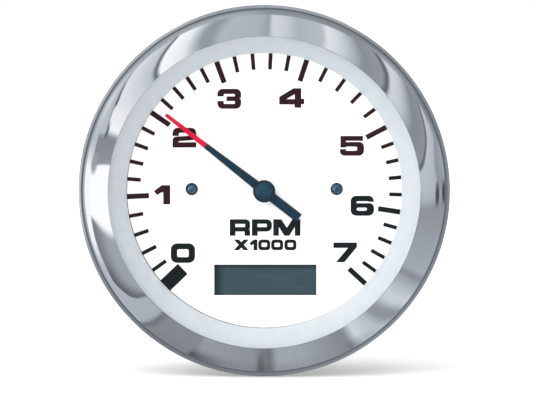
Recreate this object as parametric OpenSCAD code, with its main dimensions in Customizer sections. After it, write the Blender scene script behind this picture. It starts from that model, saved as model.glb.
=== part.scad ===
// Marine tachometer with an hour display, made to be clamped in a round hole in an instrument panel.
// Each piece is drawn face up: z = 0 is the front of the panel and z grows towards the reader.
// stand() then turns it, so that the dial looks along -Y with +Z up.

/* [Panel fit] */
// Thickness of the panel that the clamp is set for
panel_t = 6; // [5:0.5:12]
// Thickness of the soft ring between the bezel and the panel
gasket_t = 1.2; // [0.8:0.1:2]
// Breadth of the soft ring
gasket_w = 6.4; // [4:0.1:6.6]

/* [Case] */
// Outside diameter of the case, a little under the hole in the panel
case_d = 84.5; // [83:0.1:85.2]
// Depth of the case behind the front of the panel
case_depth = 48; // [44:0.5:60]
// Side wall of the case
case_wall = 2; // [1.6:0.1:2.4]
// Rear wall of the case
case_base_t = 2.6; // [2:0.1:4]
// Rounding of the rear edge of the case
case_round = 3; // [1:0.25:4]
// Thickness of the flange that the bezel is rolled over
flange_t = 3; // [2:0.1:3.4]
// Wall of the case at its neck, beside the dial
neck_wall = 1.1; // [0.9:0.1:1.4]
// Thickness of the web that joins the flange to the neck
web_t = 1.2; // [1:0.1:1.6]
// Number of upright ribs that carry the inner frame
rib_count = 6; // [4:1:10]
// Thickness of a rib
rib_w = 2; // [1.4:0.1:3]
// How far a rib stands in from the wall
rib_in = 2.5; // [1.5:0.1:3]
// Height of the bosses under the clamp
stud_boss_h = 3; // [2:0.1:5]
// Radius of those bosses
stud_boss_r = 6; // [5:0.1:7.5]
// Height of the bosses under the terminals
term_boss_h = 1.5; // [1:0.1:3]
// Radius of the terminal bosses
term_boss_r = 5.5; // [4.8:0.1:6.5]

/* [Bezel] */
// How far the bezel reaches past the outside of the case
bezel_lap = 8.75; // [8.2:0.05:11]
// Breadth of the bezel seen from the front, from its opening to its outside
bezel_band = 8.35; // [7.8:0.05:9]
// Outside diameter of the polished bezel
bezel_d = case_d + 2 * bezel_lap;
// Clear diameter inside its front lip
bezel_opening_d = bezel_d - 2 * bezel_band;
// Height of the front lip above the panel
bezel_h = 10.6; // [10:0.1:12]
// Thickness of the bezel sheet
bezel_t = 0.7; // [0.5:0.05:0.9]
// Radius of the rolled bead at the panel
bead_r = 1.1; // [0.8:0.05:1.3]
// Breadth of the bead that shows outside the domed band
crease_w = 0.95; // [0.6:0.05:1.2]
// Angle that the domed band turns through
dome_turn = 56; // [44:1:66]
// Radius of the rolled front lip
lip_r = 0.42; // [0.38:0.01:0.6]
// Gap between the case and the edge that is rolled under the flange
crimp_gap = 2; // [1.5:0.1:2.5]

/* [Lens and trim ring] */
// Depth of the lens below the front lip
lens_drop = 2; // [1.6:0.1:2.4]
// Thickness of the lens
lens_t = 2; // [1.5:0.1:2.4]
// Rubber between the edge of the lens and the bezel
lens_rubber = 0.55; // [0.4:0.05:0.8]
// Distance of the rubber's inner edge from the bezel's opening
lens_rubber_in = 0.5; // [0.3:0.05:0.8]
// Broken edge of the lens
lens_edge = 0.3; // [0.2:0.05:0.5]
// Thickness of the trim ring's flange under the lens
trim_t = 1; // [0.8:0.1:1.4]
// Wall of its sloping part
trim_wall = 2; // [1.6:0.1:2.2]
// How far the top of its slope stands back from the bezel's opening
trim_set_back = 0.25; // [0.1:0.05:0.5]
// Breadth of the ring's slope seen from the front, from the dial to the bezel's opening
trim_slope = 5; // [4.2:0.1:6]
// Clear diameter of the trim ring at the dial
dial_opening_d = bezel_opening_d - 2 * trim_slope;
// Breadth of the trim ring's foot on the dial
trim_foot_w = 2.1; // [1.4:0.1:2.3]

/* [Dial] */
// Depth of the dial's face below the front lip
dial_drop = 9.1; // [8.5:0.1:9.4]
// Thickness of the dial plate
dial_t = 0.8; // [0.5:0.1:1.2]
// Hole in the dial for the spindle
dial_hole_d = 4; // [3.4:0.1:5]
// Width of the display window
window_w = 28.1; // [24:0.1:30]
// Height of the display window
window_h = 8.1; // [6:0.1:9]
// Place of the window below the pointer's axis
window_y = -24.7; // [-26:0.1:-24]
// Place of the window beside the pointer's axis
window_x = 0.3; // [-1:0.1:1]
// Distance of each dial screw from the pointer's axis
dial_screw_x = 19.9; // [18.5:0.1:21]
// Height of the dial screws above the pointer's axis
dial_screw_y = 0.5; // [-1:0.1:1]
// Head diameter of a dial screw
dial_screw_head_d = 3.4; // [2.8:0.1:4]
// Head height of a dial screw
dial_screw_head_h = 0.9; // [0.6:0.1:1.3]
// Thread diameter of a dial screw
dial_screw_d = 1.8; // [1.4:0.1:2.2]
// Length of a dial screw under its head
dial_screw_l = 6; // [5.5:0.1:7]

/* [Scale] */
// Thickness of the printed marks
mark_t = 0.05; // [0.03:0.01:0.1]
// Number of steps between two numbered marks
mark_steps = 5; // [2:1:10]
// Length of a numbered mark
major_l = 5.8; // [4:0.1:7]
// Width of a numbered mark
major_w = 1.1; // [0.8:0.05:1.5]
// Length of a mark between numbers
minor_l = 4.1; // [2:0.1:5]
// Width of a mark between numbers
minor_w = 0.77; // [0.5:0.01:1]
// Length of the block at zero
zero_l = 6.6; // [5:0.1:8]
// Width of the zero block at its inner end
zero_w_in = 3.4; // [2:0.1:4]
// Width of the zero block at its outer end
zero_w_out = 3.9; // [2:0.1:5]

/* [Pointer] */
// Direction that the pointer rests in, counted from the right towards the top
pointer_deg = 142.1; // [-40:0.1:222]
// Reach of the pointer's tip
pointer_l = 34.2; // [30:0.1:36]
// Reach of its tail
tail_l = 12.1; // [8:0.1:14]
// Width of the blade at the hub
pointer_w_hub = 2.6; // [2:0.1:3.2]
// Reach of the dark part of the blade
pointer_l_dark = 20.4; // [15:0.1:25]
// Width of the blade where the dark part ends
pointer_w_dark = 1.5; // [1.2:0.1:2]
// Width of the blade at the tip
pointer_w_tip = 0.95; // [0.6:0.05:1.2]
// Thickness of the blade
pointer_t = 0.6; // [0.4:0.1:1]
// Height of the blade above the dial
pointer_lift = 1.9; // [1.4:0.1:2.2]
// Diameter of the hub cap
cap_d = 6.15; // [5:0.05:7]
// Height of the hub cap
cap_h = 1.1; // [1:0.1:1.4]
// Radius of the cap's rounded shoulder
cap_shoulder = 0.4; // [0.2:0.05:0.4]
// Diameter of the raised disc on the cap
cap_disc_d = 2.8; // [2:0.1:4]
// Height of that disc
cap_disc_h = 0.12; // [0.05:0.01:0.2]
// Diameter of the boss under the blade
hub_boss_d = 3.2; // [2.4:0.1:3.4]
// Height of that boss
hub_boss_h = 0.9; // [0.5:0.1:1.2]

/* [Movement] */
// Diameter of the spindle
spindle_d = 1.2; // [1:0.05:1.5]
// Radial clearance of the spindle in its bearings
bearing_fit = 0.05; // [0.02:0.01:0.09]
// Radius of the spindle's rear point
spindle_point_r = 0.1; // [0.05:0.05:0.3]
// Diameter of the rotor magnet
magnet_d = 11.6; // [9:0.1:13]
// Thickness of the rotor magnet
magnet_t = 3.6; // [2.5:0.1:4.5]
// Free space round the rotor magnet
magnet_gap = 0.5; // [0.3:0.05:0.8]
// Diameter of the bobbin
bobbin_d = 22; // [21:0.1:23]
// Wall of the bobbin in front of and behind the magnet
bobbin_wall = 1.2; // [0.9:0.1:1.6]
// Thickness of the bridge that the movement hangs from
bridge_t = 2; // [1.5:0.1:3]
// Breadth of the bridge's arms
bridge_w = 8; // [6:0.1:9]
// Width of each half of a winding
coil_w = 4; // [3:0.1:4.1]
// Thickness of a winding
coil_t = 1.8; // [1.2:0.1:2.2]
// Distance from the spindle's axis to a winding
coil_in = 2.2; // [2:0.05:2.4]
// Diameter of the posts between the windings
coil_post_d = 2.4; // [1.8:0.1:2.8]
// Wall of the shield can
shield_t = 0.8; // [0.5:0.1:1.2]

/* [Frame, board and display] */
// Thickness of the inner frame
frame_t = 2; // [1.5:0.1:3]
// Height of the posts between the frame and the circuit board
post_h = 9.1; // [8.4:0.1:11]
// Diameter of the posts
post_d = 4.8; // [4:0.1:5.4]
// How far the posts stand in from the outside of the case
post_inset = 10.25; // [9.25:0.05:11.25]
// Distance of the posts from the axis
post_r = case_d / 2 - post_inset;
// Thickness of the circuit board
board_t = 1.6; // [1:0.1:2]
// Diameter of the board screws
board_screw_d = 2; // [1.6:0.1:2.6]
// Length of the board screws under their heads
board_screw_l = 6; // [4:0.1:8]
// Thickness of the display glass
display_t = 1.9; // [1.4:0.1:2.2]
// Rim of the display glass round its window
display_rim = 2.9; // [2:0.1:3.2]
// Wall of the display holder
holder_wall = 1.9; // [1.2:0.1:2]
// Ledge of the holder under the display glass
display_ledge = 1; // [0.6:0.1:1.5]
// Width of the rubber strips behind the display glass
contact_w = 2; // [1.4:0.1:2.5]
// Radius of the light openings in the frame and the board
light_r = 8; // [6:0.1:8.4]
// Width of the driver chip
chip_w = 7.5; // [5:0.1:8]
// Length of the driver chip
chip_l = 10.3; // [8:0.1:12]
// Thickness of the driver chip
chip_t = 2.3; // [1:0.1:3]
// Distance between neighbouring leads of the chip
lead_step = 1.27; // [0.8:0.01:1.3]
// Reach of a lead beside the chip
lead_l = 1.2; // [0.8:0.1:1.6]
// Width of a lead
lead_w = 0.4; // [0.3:0.05:0.6]
// Thickness of a lead
lead_t = 0.25; // [0.15:0.05:0.4]
// Radius of the can capacitors
can_r = 4; // [3:0.1:5]
// Length of the can capacitors
can_l = 9; // [7:0.1:12]
// Radius of the groove round their open end
can_groove = 0.3; // [0.2:0.05:0.4]

/* [Lamp and selector] */
// Distance of the lamp and of the selector from the centre line
rear_pair_x = 11; // [10:0.1:12]
// Their height above the pointer's axis
rear_pair_y = 26; // [25:0.1:27]
// Diameter of the lamp socket's body
lamp_body_d = 14.4; // [12:0.1:15.4]
// Diameter of the lamp socket's flange
lamp_flange_d = 18; // [17:0.1:19]
// Thickness of the lamp socket's flange
lamp_flange_t = 1.5; // [1:0.1:2.5]
// Length of the lamp socket outside the case
lamp_out = 7; // [5:0.1:10]
// Length of the lamp socket inside the case
lamp_in = 7.5; // [5:0.1:10]
// Step from the flange in to the socket's rear end
lamp_step = 1.5; // [1:0.1:2]
// Thickness of the socket's finger wings
lamp_wing_t = 3; // [2:0.1:4]
// Wall between the lamp and the outside of its glass
lamp_rim = 1; // [0.6:0.1:1.5]
// Width of a contact blade
blade_w = 6.3; // [4.8:0.1:6.3]
// Thickness of a contact blade
blade_t = 0.8; // [0.5:0.1:0.8]
// Distance of a contact blade from the lamp's axis
blade_x = 2.4; // [2:0.1:2.8]
// Length of a contact blade behind the socket
blade_out = 4; // [3:0.1:6]
// Thickness of the lamp's wedge base
wedge_t = 2.4; // [2:0.1:2.8]
// Diameter of the lamp's glass
bulb_d = 9.6; // [8:0.1:10]
// Length of the lamp in front of its socket
bulb_l = 15; // [12:0.1:17]
// Diameter of the selector's shaft
selector_d = 6; // [5:0.1:7]
// Width of the selector's switch
selector_w = 14; // [12:0.1:15]
// Height of the selector's switch
selector_h = 7; // [5:0.1:9]
// Length of the selector's shaft outside the rear wall
selector_out = 0.5; // [0.2:0.1:2]
// Breadth and height of the collar on the shaft
selector_collar = 1.5; // [1:0.1:2.5]
// Wall between the shaft's front end and the board
selector_cover = 1; // [0.6:0.1:2]
// Width of the screwdriver slot
slot_w = 1.2; // [0.8:0.1:1.6]
// Depth of the screwdriver slot
slot_h = 1.8; // [1:0.1:2.4]

/* [Clamp] */
// Distance between the two mounting studs
stud_pitch = 50; // [46:0.1:54]
// Diameter of a mounting stud
stud_d = 4.8; // [4:0.1:5.6]
// Diameter of the plain point at the end of a stud
stud_point_d = 4; // [3.2:0.1:4.4]
// Length of the point
stud_point_l = 3; // [2:0.1:4]
// Length of a stud behind the case
stud_l = 24; // [20:0.5:30]
// Thickness of a stud's head inside the case
stud_head_t = 3; // [2:0.1:4]
// Width across the flats of a stud's head
stud_head_af = 9; // [8:0.1:10]
// Thickness of the clamp's strap
strap_t = 1.6; // [1.2:0.1:2]
// Breadth of the strap
strap_w = 19; // [14:0.5:24]
// Gap between the case and each leg of the clamp
leg_gap = 1.6; // [1:0.1:2.2]
// Radius inside the bends of the strap
bend_r = 1.2; // [1:0.1:1.6]
// Distance of the foot's end from the outer edge of the bezel
foot_inset = 1.4; // [1:0.1:2]
// Width across the flats of the clamp nuts
nut_af = 9.5; // [8.5:0.1:11]
// Thickness of the clamp nuts
nut_t = 3.6; // [3:0.1:5]
// Thickness of the split washers
split_t = 1; // [0.8:0.1:1.4]
// Breadth of the split washers
split_w = 1.9; // [1.2:0.1:2.4]
// Gap between the ends of a split washer
split_gap = 1; // [0.6:0.1:1.5]

/* [Terminals] */
// Distance between neighbouring terminals
term_pitch = 16; // [14:0.1:17]
// Height of the terminals, below the pointer's axis
term_y = -24; // [-26:0.1:-22]
// Diameter of a terminal stud
term_d = 4.1; // [3.5:0.1:4.5]
// Length of a terminal stud behind the case
term_l = 13; // [12:0.1:16]
// Width across the flats of the terminal nuts and collars
term_af = 7.9; // [7:0.1:9]
// Thickness of a terminal nut
term_nut_t = 3; // [2.4:0.1:3.4]
// Thickness of a terminal washer
term_washer_t = 0.6; // [0.4:0.1:0.8]
// How far a terminal washer stands out past the flats of its nut
term_washer_rim = 0.6; // [0.3:0.1:0.9]

/* [Hidden] */
$fn = 96;
// Numbered marks, zero first, as directions counted like pointer_deg; the scale isn't even
numbered_deg = [223.8, 182.5, 145.3, 110.4, 72.1, 27.5, -9, -42.8];
// Small clearance between pieces that are only laid together
fit = 0.15;
// Clearance of a screw or stud in its hole
bolt_fit = 0.1;
// Length that a cut runs past the face that it opens
past = 1;

bezel_r = bezel_d / 2;
opening_r = bezel_opening_d / 2;
bead_c = [bezel_r - bead_r, gasket_t + bead_r];
dome_start = [bezel_r - crease_w - bezel_t / 2, bead_c[1]];
dome_end = [opening_r + lip_r, bezel_h - lip_r];
dome_chord = dome_end - dome_start;
dome_r = norm(dome_chord) / 2 / sin(dome_turn / 2);
dome_c = (dome_start + dome_end) / 2
    + dome_r * cos(dome_turn / 2) * [-dome_chord[1], dome_chord[0]] / norm(dome_chord);
dome_in = dome_r - bezel_t / 2;
dome_out = dome_r + bezel_t / 2;
dome_mid_deg = atan2(dome_chord[0], -dome_chord[1]) + 180;

case_r = case_d / 2;
case_in_r = case_r - case_wall;
case_floor = case_base_t - case_depth;
crimp_r = case_r + crimp_gap;
flange_z = gasket_t + bezel_t;
flange_r = dome_in_r(flange_z + flange_t) - fit;

lens_front = bezel_h - lens_drop;
lens_back = lens_front - lens_t;
lens_r = dome_in_r(lens_front) - fit - lens_rubber;
trim_back = lens_back - trim_t;
trim_r = dome_in_r(lens_back) - fit;
trim_in_top = opening_r + trim_set_back;
dial_opening_r = dial_opening_d / 2;
trim_foot_r = min(dial_opening_r + trim_foot_w, case_in_r - fit);

dial_z = bezel_h - dial_drop;
dial_back = dial_z - dial_t;
dial_r = case_in_r - 2 * fit;
neck_r = case_r - neck_wall;
counter_z = flange_z + web_t;
counter_r = trim_in_top + trim_wall;

frame_back = dial_back - frame_t;
board_front = frame_back - post_h;
board_back = board_front - board_t;
board_r = case_in_r - rib_in - 2 * fit;
post_places = [for (i = [0:3]) 45 + 90 * i];

blade_z = dial_z + pointer_lift;
cap_z = blade_z + pointer_t;
spindle_r = spindle_d / 2;
spindle_top = cap_z + cap_h / 2;

bridge_back = frame_back - bridge_t;
coil_out_front = bridge_back - fit;
coil_in_front = coil_out_front - coil_t - fit;
bobbin_front_z = coil_in_front - coil_t - fit;
cavity_h = magnet_t + 2 * magnet_gap;
bobbin_back_z = bobbin_front_z - 2 * bobbin_wall - cavity_h;
bobbin_split_z = (bobbin_front_z + bobbin_back_z) / 2;
coil_in_back = bobbin_back_z - fit - coil_t;
coil_out_back = coil_in_back - fit - coil_t;
coil_side = bobbin_d / 2 + fit;
coil_post_at = coil_in + coil_w + fit + coil_post_d / 2;
bearing_boss_r = coil_in - 2 * fit;
spindle_end = coil_out_back + 2 * fit;
shield_r = norm([coil_side + coil_t, coil_in + coil_w]) + 2 * fit + shield_t;
shield_back = coil_out_back - fit - shield_t;
screw_bore_r = dial_screw_d / 2 + bearing_fit;

// Middle of the board's ring and the heights of the pieces that sit on it
ring_mid_r = (shield_r + board_r) / 2;
chip_y = -8;
can_places = [-6, 5];

display_w = window_w + 2 * display_rim;
display_h = window_h + 2 * display_rim;
display_top = dial_back - 2 * fit;
display_back = display_top - display_t;

lamp_at = [rear_pair_x, rear_pair_y];
lamp_end = -case_depth - lamp_out;
lamp_edge = 1;
blade_front = -case_depth + 1 - fit;
selector_at = [-rear_pair_x, rear_pair_y];
selector_z = board_back - selector_h;
selector_end = -case_depth - selector_out;

stud_r = stud_d / 2;
strap_front = -case_depth - stud_boss_h;
strap_back = strap_front - strap_t;
stud_end = -case_depth - stud_l;
leg_in = case_r + leg_gap;
leg_out = leg_in + strap_t;
foot_front = -panel_t;
foot_back = foot_front - strap_t;
foot_end = bezel_r - foot_inset;
nut_front = strap_back - split_t;

term_r = term_d / 2;
term_places = [-term_pitch, 0, term_pitch];
term_seat = -case_depth - term_boss_h;
term_end = -case_depth - term_l;
// Heights of the fronts of each terminal's washer, nut, washer and nut
term_stack = [
    term_seat,
    term_seat - term_washer_t,
    term_seat - term_washer_t - term_nut_t,
    term_seat - 2 * term_washer_t - term_nut_t
];

// Radius of the inside of the domed band at a height
function dome_in_r(z) = dome_c[0] + sqrt(pow(dome_in, 2) - pow(z - dome_c[1], 2));

// Turns a face-up piece so that its front looks along -Y
module stand() {
    rotate([90, 0, 0]) children();
}

// Revolved piece from an outline in radius and height
module turned() {
    stand() rotate_extrude() children();
}

// Rectangle between two radii and two heights
module band(r0, r1, z0, z1) {
    translate([r0, z0]) square([r1 - r0, z1 - z0]);
}

// Round bar from one height to another
module rod(r, z0, z1) {
    translate([0, 0, z0]) cylinder(r = r, h = z1 - z0);
}

// Box centred in x and y, between two heights
module block(w, d, z0, z1) {
    translate([-w / 2, -d / 2, z0]) cube([w, d, z1 - z0]);
}

// Round bar from a top height down to a chamfered end
module pointed_bar(r, top, end) {
    chamfer = r / 4;
    rod(r, end + chamfer, top);
    translate([0, 0, end]) cylinder(r1 = r - chamfer, r2 = r, h = chamfer);
}

// Hexagonal nut with turned corners, hung below a height
module nut(af, t, bore_r, top) {
    corner = af / 2 / cos(30);
    turn = corner - af / 2;
    translate([0, 0, top - t]) difference() {
        intersection() {
            cylinder(r = corner, h = t, $fn = 6);
            rotate_extrude() polygon([
                [0, 0], [corner - turn, 0], [corner + turn, turn],
                [corner + turn, t - turn], [corner - turn, t], [0, t]
            ]);
        }
        translate([0, 0, -past]) cylinder(r = bore_r, h = t + 2 * past);
    }
}

// Split spring washer, hung below a height
module split_washer(r_out, bore_r, t, top) {
    difference() {
        rod(r_out, top - t, top);
        rod(bore_r, top - t - past, top + past);
        translate([0, -split_gap / 2, top - t - past]) cube([r_out + past, split_gap, t + 2 * past]);
    }
}

// The wedge of the bezel's outline that the domed band fills
module dome_wedge() {
    far = 2 * dome_r;
    translate(dome_c) polygon([
        [0, 0],
        far * [cos(dome_mid_deg - dome_turn / 2), sin(dome_mid_deg - dome_turn / 2)],
        far * [cos(dome_mid_deg), sin(dome_mid_deg)],
        far * [cos(dome_mid_deg + dome_turn / 2), sin(dome_mid_deg + dome_turn / 2)]
    ]);
}

// Polished sheet: rolled lip, domed band, bead at the panel and the edge rolled under the flange
module bezel() {
    color("silver") turned() {
        intersection() {
            translate(dome_c) difference() {
                circle(dome_out);
                circle(dome_in);
            }
            dome_wedge();
        }
        translate(dome_end) circle(lip_r);
        translate(bead_c) circle(bead_r);
        band(crimp_r, bead_c[0], gasket_t, flange_z);
    }
}

// Flat clear disc with broken edges
module lens() {
    color("aliceblue", 0.3) turned() polygon([
        [0, lens_back], [lens_r - lens_edge, lens_back], [lens_r, lens_back + lens_edge],
        [lens_r, lens_front - lens_edge], [lens_r - lens_edge, lens_front], [0, lens_front]
    ]);
}

// Rubber that fills the corner between the lens and the domed band
module lens_gasket() {
    color("dimgray") turned() difference() {
        intersection() {
            translate(dome_c) circle(dome_in - fit / 2);
            band(opening_r + lens_rubber_in, bezel_r, lens_back, bezel_h);
        }
        band(0, lens_r + fit / 3, lens_back - past, lens_front);
        translate(dome_end) circle(lip_r + fit / 3);
    }
}

// Sloping reflector ring between the dial and the lens
module trim_ring() {
    color("lightsteelblue") turned() polygon([
        [dial_opening_r, dial_z],
        [trim_foot_r, dial_z],
        [neck_r - 2 * fit, dial_z + neck_r - 2 * fit - trim_foot_r],
        [neck_r - 2 * fit, counter_z],
        [counter_r - 2 * fit, trim_back],
        [trim_r, trim_back],
        [trim_r, lens_back],
        [trim_in_top, lens_back]
    ]);
}

// Places of the two dial screws
module at_dial_screws() {
    for (side = [-1, 1]) translate([side * dial_screw_x, dial_screw_y, 0]) children();
}

// Plate with the window, the spindle hole and the screw holes
module dial_plate() {
    color("white") stand() difference() {
        rod(dial_r, dial_back, dial_z);
        rod(dial_hole_d / 2, dial_back - past, dial_z + past);
        translate([window_x, window_y, 0]) block(window_w, window_h, dial_back - past, dial_z + past);
        at_dial_screws() rod(dial_screw_d / 2 + bolt_fit, dial_back - past, dial_z + past);
    }
}

// One mark whose outer end meets the trim ring
module mark(deg, l, w_in, w_out) {
    r_out = dial_opening_r - fit / 3;
    r_in = r_out - l;
    rotate(deg) translate([0, 0, dial_z]) linear_extrude(mark_t)
        polygon([[r_in, -w_in / 2], [r_out, -w_out / 2], [r_out, w_out / 2], [r_in, w_in / 2]]);
}

// Scale: a block at zero, a long mark at each number and short marks between numbers
module scale_marks() {
    last = len(numbered_deg) - 1;
    color("#241f26") stand() {
        mark(numbered_deg[0], zero_l, zero_w_in, zero_w_out);
        for (i = [1:last]) {
            mark(numbered_deg[i], major_l, major_w, major_w);
            step = (numbered_deg[i] - numbered_deg[i - 1]) / mark_steps;
            for (k = [1:mark_steps - 1]) mark(numbered_deg[i - 1] + k * step, minor_l, minor_w, minor_w);
        }
    }
}

// Domed screws that hold the dial, the frame and the movement together
module dial_screws() {
    head_r = dial_screw_head_d / 2;
    ball_r = (pow(head_r, 2) + pow(dial_screw_head_h, 2)) / 2 / dial_screw_head_h;
    color("slategray") stand() at_dial_screws() {
        intersection() {
            translate([0, 0, dial_z + dial_screw_head_h - ball_r]) sphere(ball_r);
            rod(head_r + past, dial_z, dial_z + dial_screw_head_h + past);
        }
        rod(dial_screw_d / 2, dial_z - dial_screw_l, dial_z);
    }
}

// Blade with its tail and the boss that grips the spindle
module pointer() {
    color("#1f3a4f") stand() rotate(pointer_deg) difference() {
        union() {
            translate([0, 0, blade_z]) linear_extrude(pointer_t) polygon([
                [-tail_l, -pointer_w_hub / 2],
                [0, -pointer_w_hub / 2],
                [pointer_l_dark, -pointer_w_dark / 2],
                [pointer_l - pointer_w_tip / 4, -pointer_w_tip / 2],
                [pointer_l, -pointer_w_tip / 4],
                [pointer_l, pointer_w_tip / 4],
                [pointer_l - pointer_w_tip / 4, pointer_w_tip / 2],
                [pointer_l_dark, pointer_w_dark / 2],
                [0, pointer_w_hub / 2],
                [-tail_l, pointer_w_hub / 2]
            ]);
            rod(hub_boss_d / 2, blade_z - hub_boss_h, cap_z);
        }
        rod(spindle_r, dial_z, cap_z + past);
    }
}

// Cap with a rounded shoulder and a low raised centre
module pointer_cap() {
    cap_r = cap_d / 2;
    rim_top = cap_z + cap_h - cap_disc_h;
    color("#274a60") turned() difference() {
        union() {
            band(0, cap_r, cap_z, rim_top - cap_shoulder);
            band(0, cap_r - cap_shoulder, cap_z, rim_top);
            translate([cap_r - cap_shoulder, rim_top - cap_shoulder]) circle(cap_shoulder);
            band(0, cap_disc_d / 2, cap_z, cap_z + cap_h);
        }
        band(0, spindle_r, cap_z - past, spindle_top + fit / 2);
    }
}

// Steel spindle with a pointed rear end
module spindle() {
    color("gainsboro") stand() {
        rod(spindle_r, spindle_end + spindle_r, spindle_top);
        translate([0, 0, spindle_end]) cylinder(r1 = spindle_point_r, r2 = spindle_r, h = spindle_r);
    }
}

// Disc magnet pressed on the spindle
module rotor_magnet() {
    color("darkslategray") turned()
        band(spindle_r, magnet_d / 2, bobbin_split_z - magnet_t / 2, bobbin_split_z + magnet_t / 2);
}

// Drum of the bobbin with the corner posts that keep the windings apart
module bobbin_drum(z0, z1) {
    rod(bobbin_d / 2, z0, z1);
    coil_posts(z0, z1);
}

// The four corner posts
module coil_posts(z0, z1) {
    for (x = [-1, 1], y = [-1, 1])
        translate([x * coil_post_at, y * coil_post_at, 0]) rod(coil_post_d / 2, z0, z1);
}

// Cavity of the bobbin that the magnet turns in
module magnet_cavity() {
    rod(magnet_d / 2 + magnet_gap, bobbin_split_z - cavity_h / 2, bobbin_split_z + cavity_h / 2);
}

// Front half: bridge with its arms, posts, front bearing and half of the drum
module bobbin_front() {
    color("ivory") stand() difference() {
        union() {
            bobbin_drum(bobbin_split_z, bobbin_front_z);
            coil_posts(bobbin_front_z, bridge_back);
            rod(bearing_boss_r, bobbin_front_z, bridge_back);
            rod(shield_r, bridge_back, frame_back);
            translate([0, dial_screw_y, 0]) block(2 * dial_screw_x, bridge_w, bridge_back, frame_back);
            at_dial_screws() rod(bridge_w / 2, bridge_back, frame_back);
        }
        magnet_cavity();
        rod(spindle_r + bearing_fit, bobbin_split_z - past, frame_back + past);
        at_dial_screws() rod(screw_bore_r, bridge_back - past, frame_back + past);
    }
}

// Rear half: the other half of the drum with the blind rear bearing
module bobbin_rear() {
    color("ivory") stand() difference() {
        union() {
            bobbin_drum(bobbin_back_z, bobbin_split_z);
            rod(bearing_boss_r, coil_out_back, bobbin_back_z);
        }
        magnet_cavity();
        rod(spindle_r + bearing_fit, spindle_end - fit / 2, bobbin_split_z + past);
    }
}

// One winding: two rectangular loops, one on each side of the spindle
module winding(front, back) {
    for (side = [-1, 1]) translate([0, side * (coil_in + coil_w / 2), 0]) difference() {
        block(2 * (coil_side + coil_t), coil_w, back, front);
        block(2 * coil_side, coil_w + past, back + coil_t, front - coil_t);
    }
}

// Winding next to the drum
module coil_inner() {
    color("#b06a3a") stand() winding(coil_in_front, coil_in_back);
}

// Winding laid across it
module coil_outer() {
    color("#c07a45") stand() rotate(90) winding(coil_out_front, coil_out_back);
}

// Steel cup over the windings
module shield_can() {
    color("lightgray") turned() difference() {
        band(0, shield_r, shield_back, bridge_back);
        band(0, shield_r - shield_t, shield_back + shield_t, bridge_back + past);
    }
}

// Places of the four posts of the frame
module at_posts() {
    for (deg = post_places) rotate(deg) translate([post_r, 0, 0]) children();
}

// Openings that pass the lamp's light to the dial
module light_openings(z0, z1) {
    for (side = [-1, 1]) translate([side * rear_pair_x, rear_pair_y, 0]) rod(light_r, z0, z1);
}

// Moulded frame under the dial, with posts for the board
module support_frame() {
    color("whitesmoke") stand() difference() {
        union() {
            rod(dial_r, frame_back, dial_back);
            at_posts() rod(post_d / 2, board_front, frame_back);
        }
        rod(dial_hole_d / 2, frame_back - past, dial_back + past);
        at_dial_screws() rod(dial_screw_d / 2 + bolt_fit, frame_back - past, dial_back + past);
        translate([window_x, window_y, 0])
            block(display_w + 2 * fit, display_h + 2 * fit, frame_back - past, dial_back + past);
        light_openings(frame_back - past, dial_back + past);
        at_posts() rod(board_screw_d / 2 + bearing_fit, board_front - past, frame_back);
    }
}

// Ring-shaped board round the movement
module circuit_board() {
    color("darkgreen") stand() difference() {
        rod(board_r, board_back, board_front);
        rod(shield_r + 4 * fit, board_back - past, board_front + past);
        at_posts() rod(board_screw_d / 2 + bolt_fit, board_back - past, board_front + past);
        translate(lamp_at) rod(light_r, board_back - past, board_front + past);
    }
}

// Round-headed screws that hold the board
module board_screws() {
    head_r = board_screw_d * 1.1;
    head_h = board_screw_d * 0.7;
    color("silver") stand() at_posts() difference() {
        union() {
            rod(head_r, board_back - head_h, board_back);
            rod(board_screw_d / 2, board_back, board_back + board_screw_l);
        }
        translate([0, 0, board_back - head_h]) {
            block(head_r, head_r / 4, -past, head_h / 2);
            block(head_r / 4, head_r, -past, head_h / 2);
        }
    }
}

// Chip that drives the two windings, with its two rows of leads
module driver_chip() {
    stand_off = 0.2;
    color("#2a2a2a") stand() translate([-ring_mid_r, chip_y, board_front]) {
        block(chip_w, chip_l, stand_off, stand_off + chip_t);
        for (side = [-1, 1], i = [-3.5:3.5]) translate([side * (chip_w + lead_l) / 2, i * lead_step, 0]) {
            block(lead_l, lead_w, 0, lead_t);
            translate([side * (lead_t - lead_l) / 2, 0, 0]) block(lead_t, lead_w, 0, stand_off + chip_t / 2);
        }
    }
}

// Two can capacitors on the rear of the board
module capacitors() {
    groove_up = 2;
    color("navy") stand() for (y = can_places) translate([ring_mid_r, y, 0]) difference() {
        rod(can_r, board_back - can_l, board_back);
        translate([0, 0, board_back - groove_up])
            rotate_extrude() translate([can_r + can_groove / 3, 0]) circle(can_groove);
    }
}

// Display glass behind the window
module display_panel() {
    color("#4c6068") stand() translate([window_x, window_y, 0])
        block(display_w, display_h, display_back, display_top);
}

// Moulded box that carries the display glass on the board
module display_holder() {
    inner_w = display_w - 2 * fit;
    inner_h = display_h - 2 * fit;
    color("#30363a") stand() translate([window_x, window_y, 0]) difference() {
        block(inner_w + 2 * holder_wall, inner_h + 2 * holder_wall, board_front, frame_back);
        block(display_w + 2 * fit, display_h + 2 * fit, display_back, frame_back + past);
        block(inner_w - 2 * display_ledge, inner_h - 2 * display_ledge, board_front - past, frame_back);
    }
}

// Two rubber strips that join the glass to the board
module display_contacts() {
    strip_y = display_h / 2 - display_ledge - 2 * fit - contact_w / 2;
    color("#5a5f63") stand() translate([window_x, window_y, 0]) for (side = [-1, 1])
        translate([0, side * strip_y, 0]) block(window_w, contact_w, board_front, display_back);
}

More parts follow.
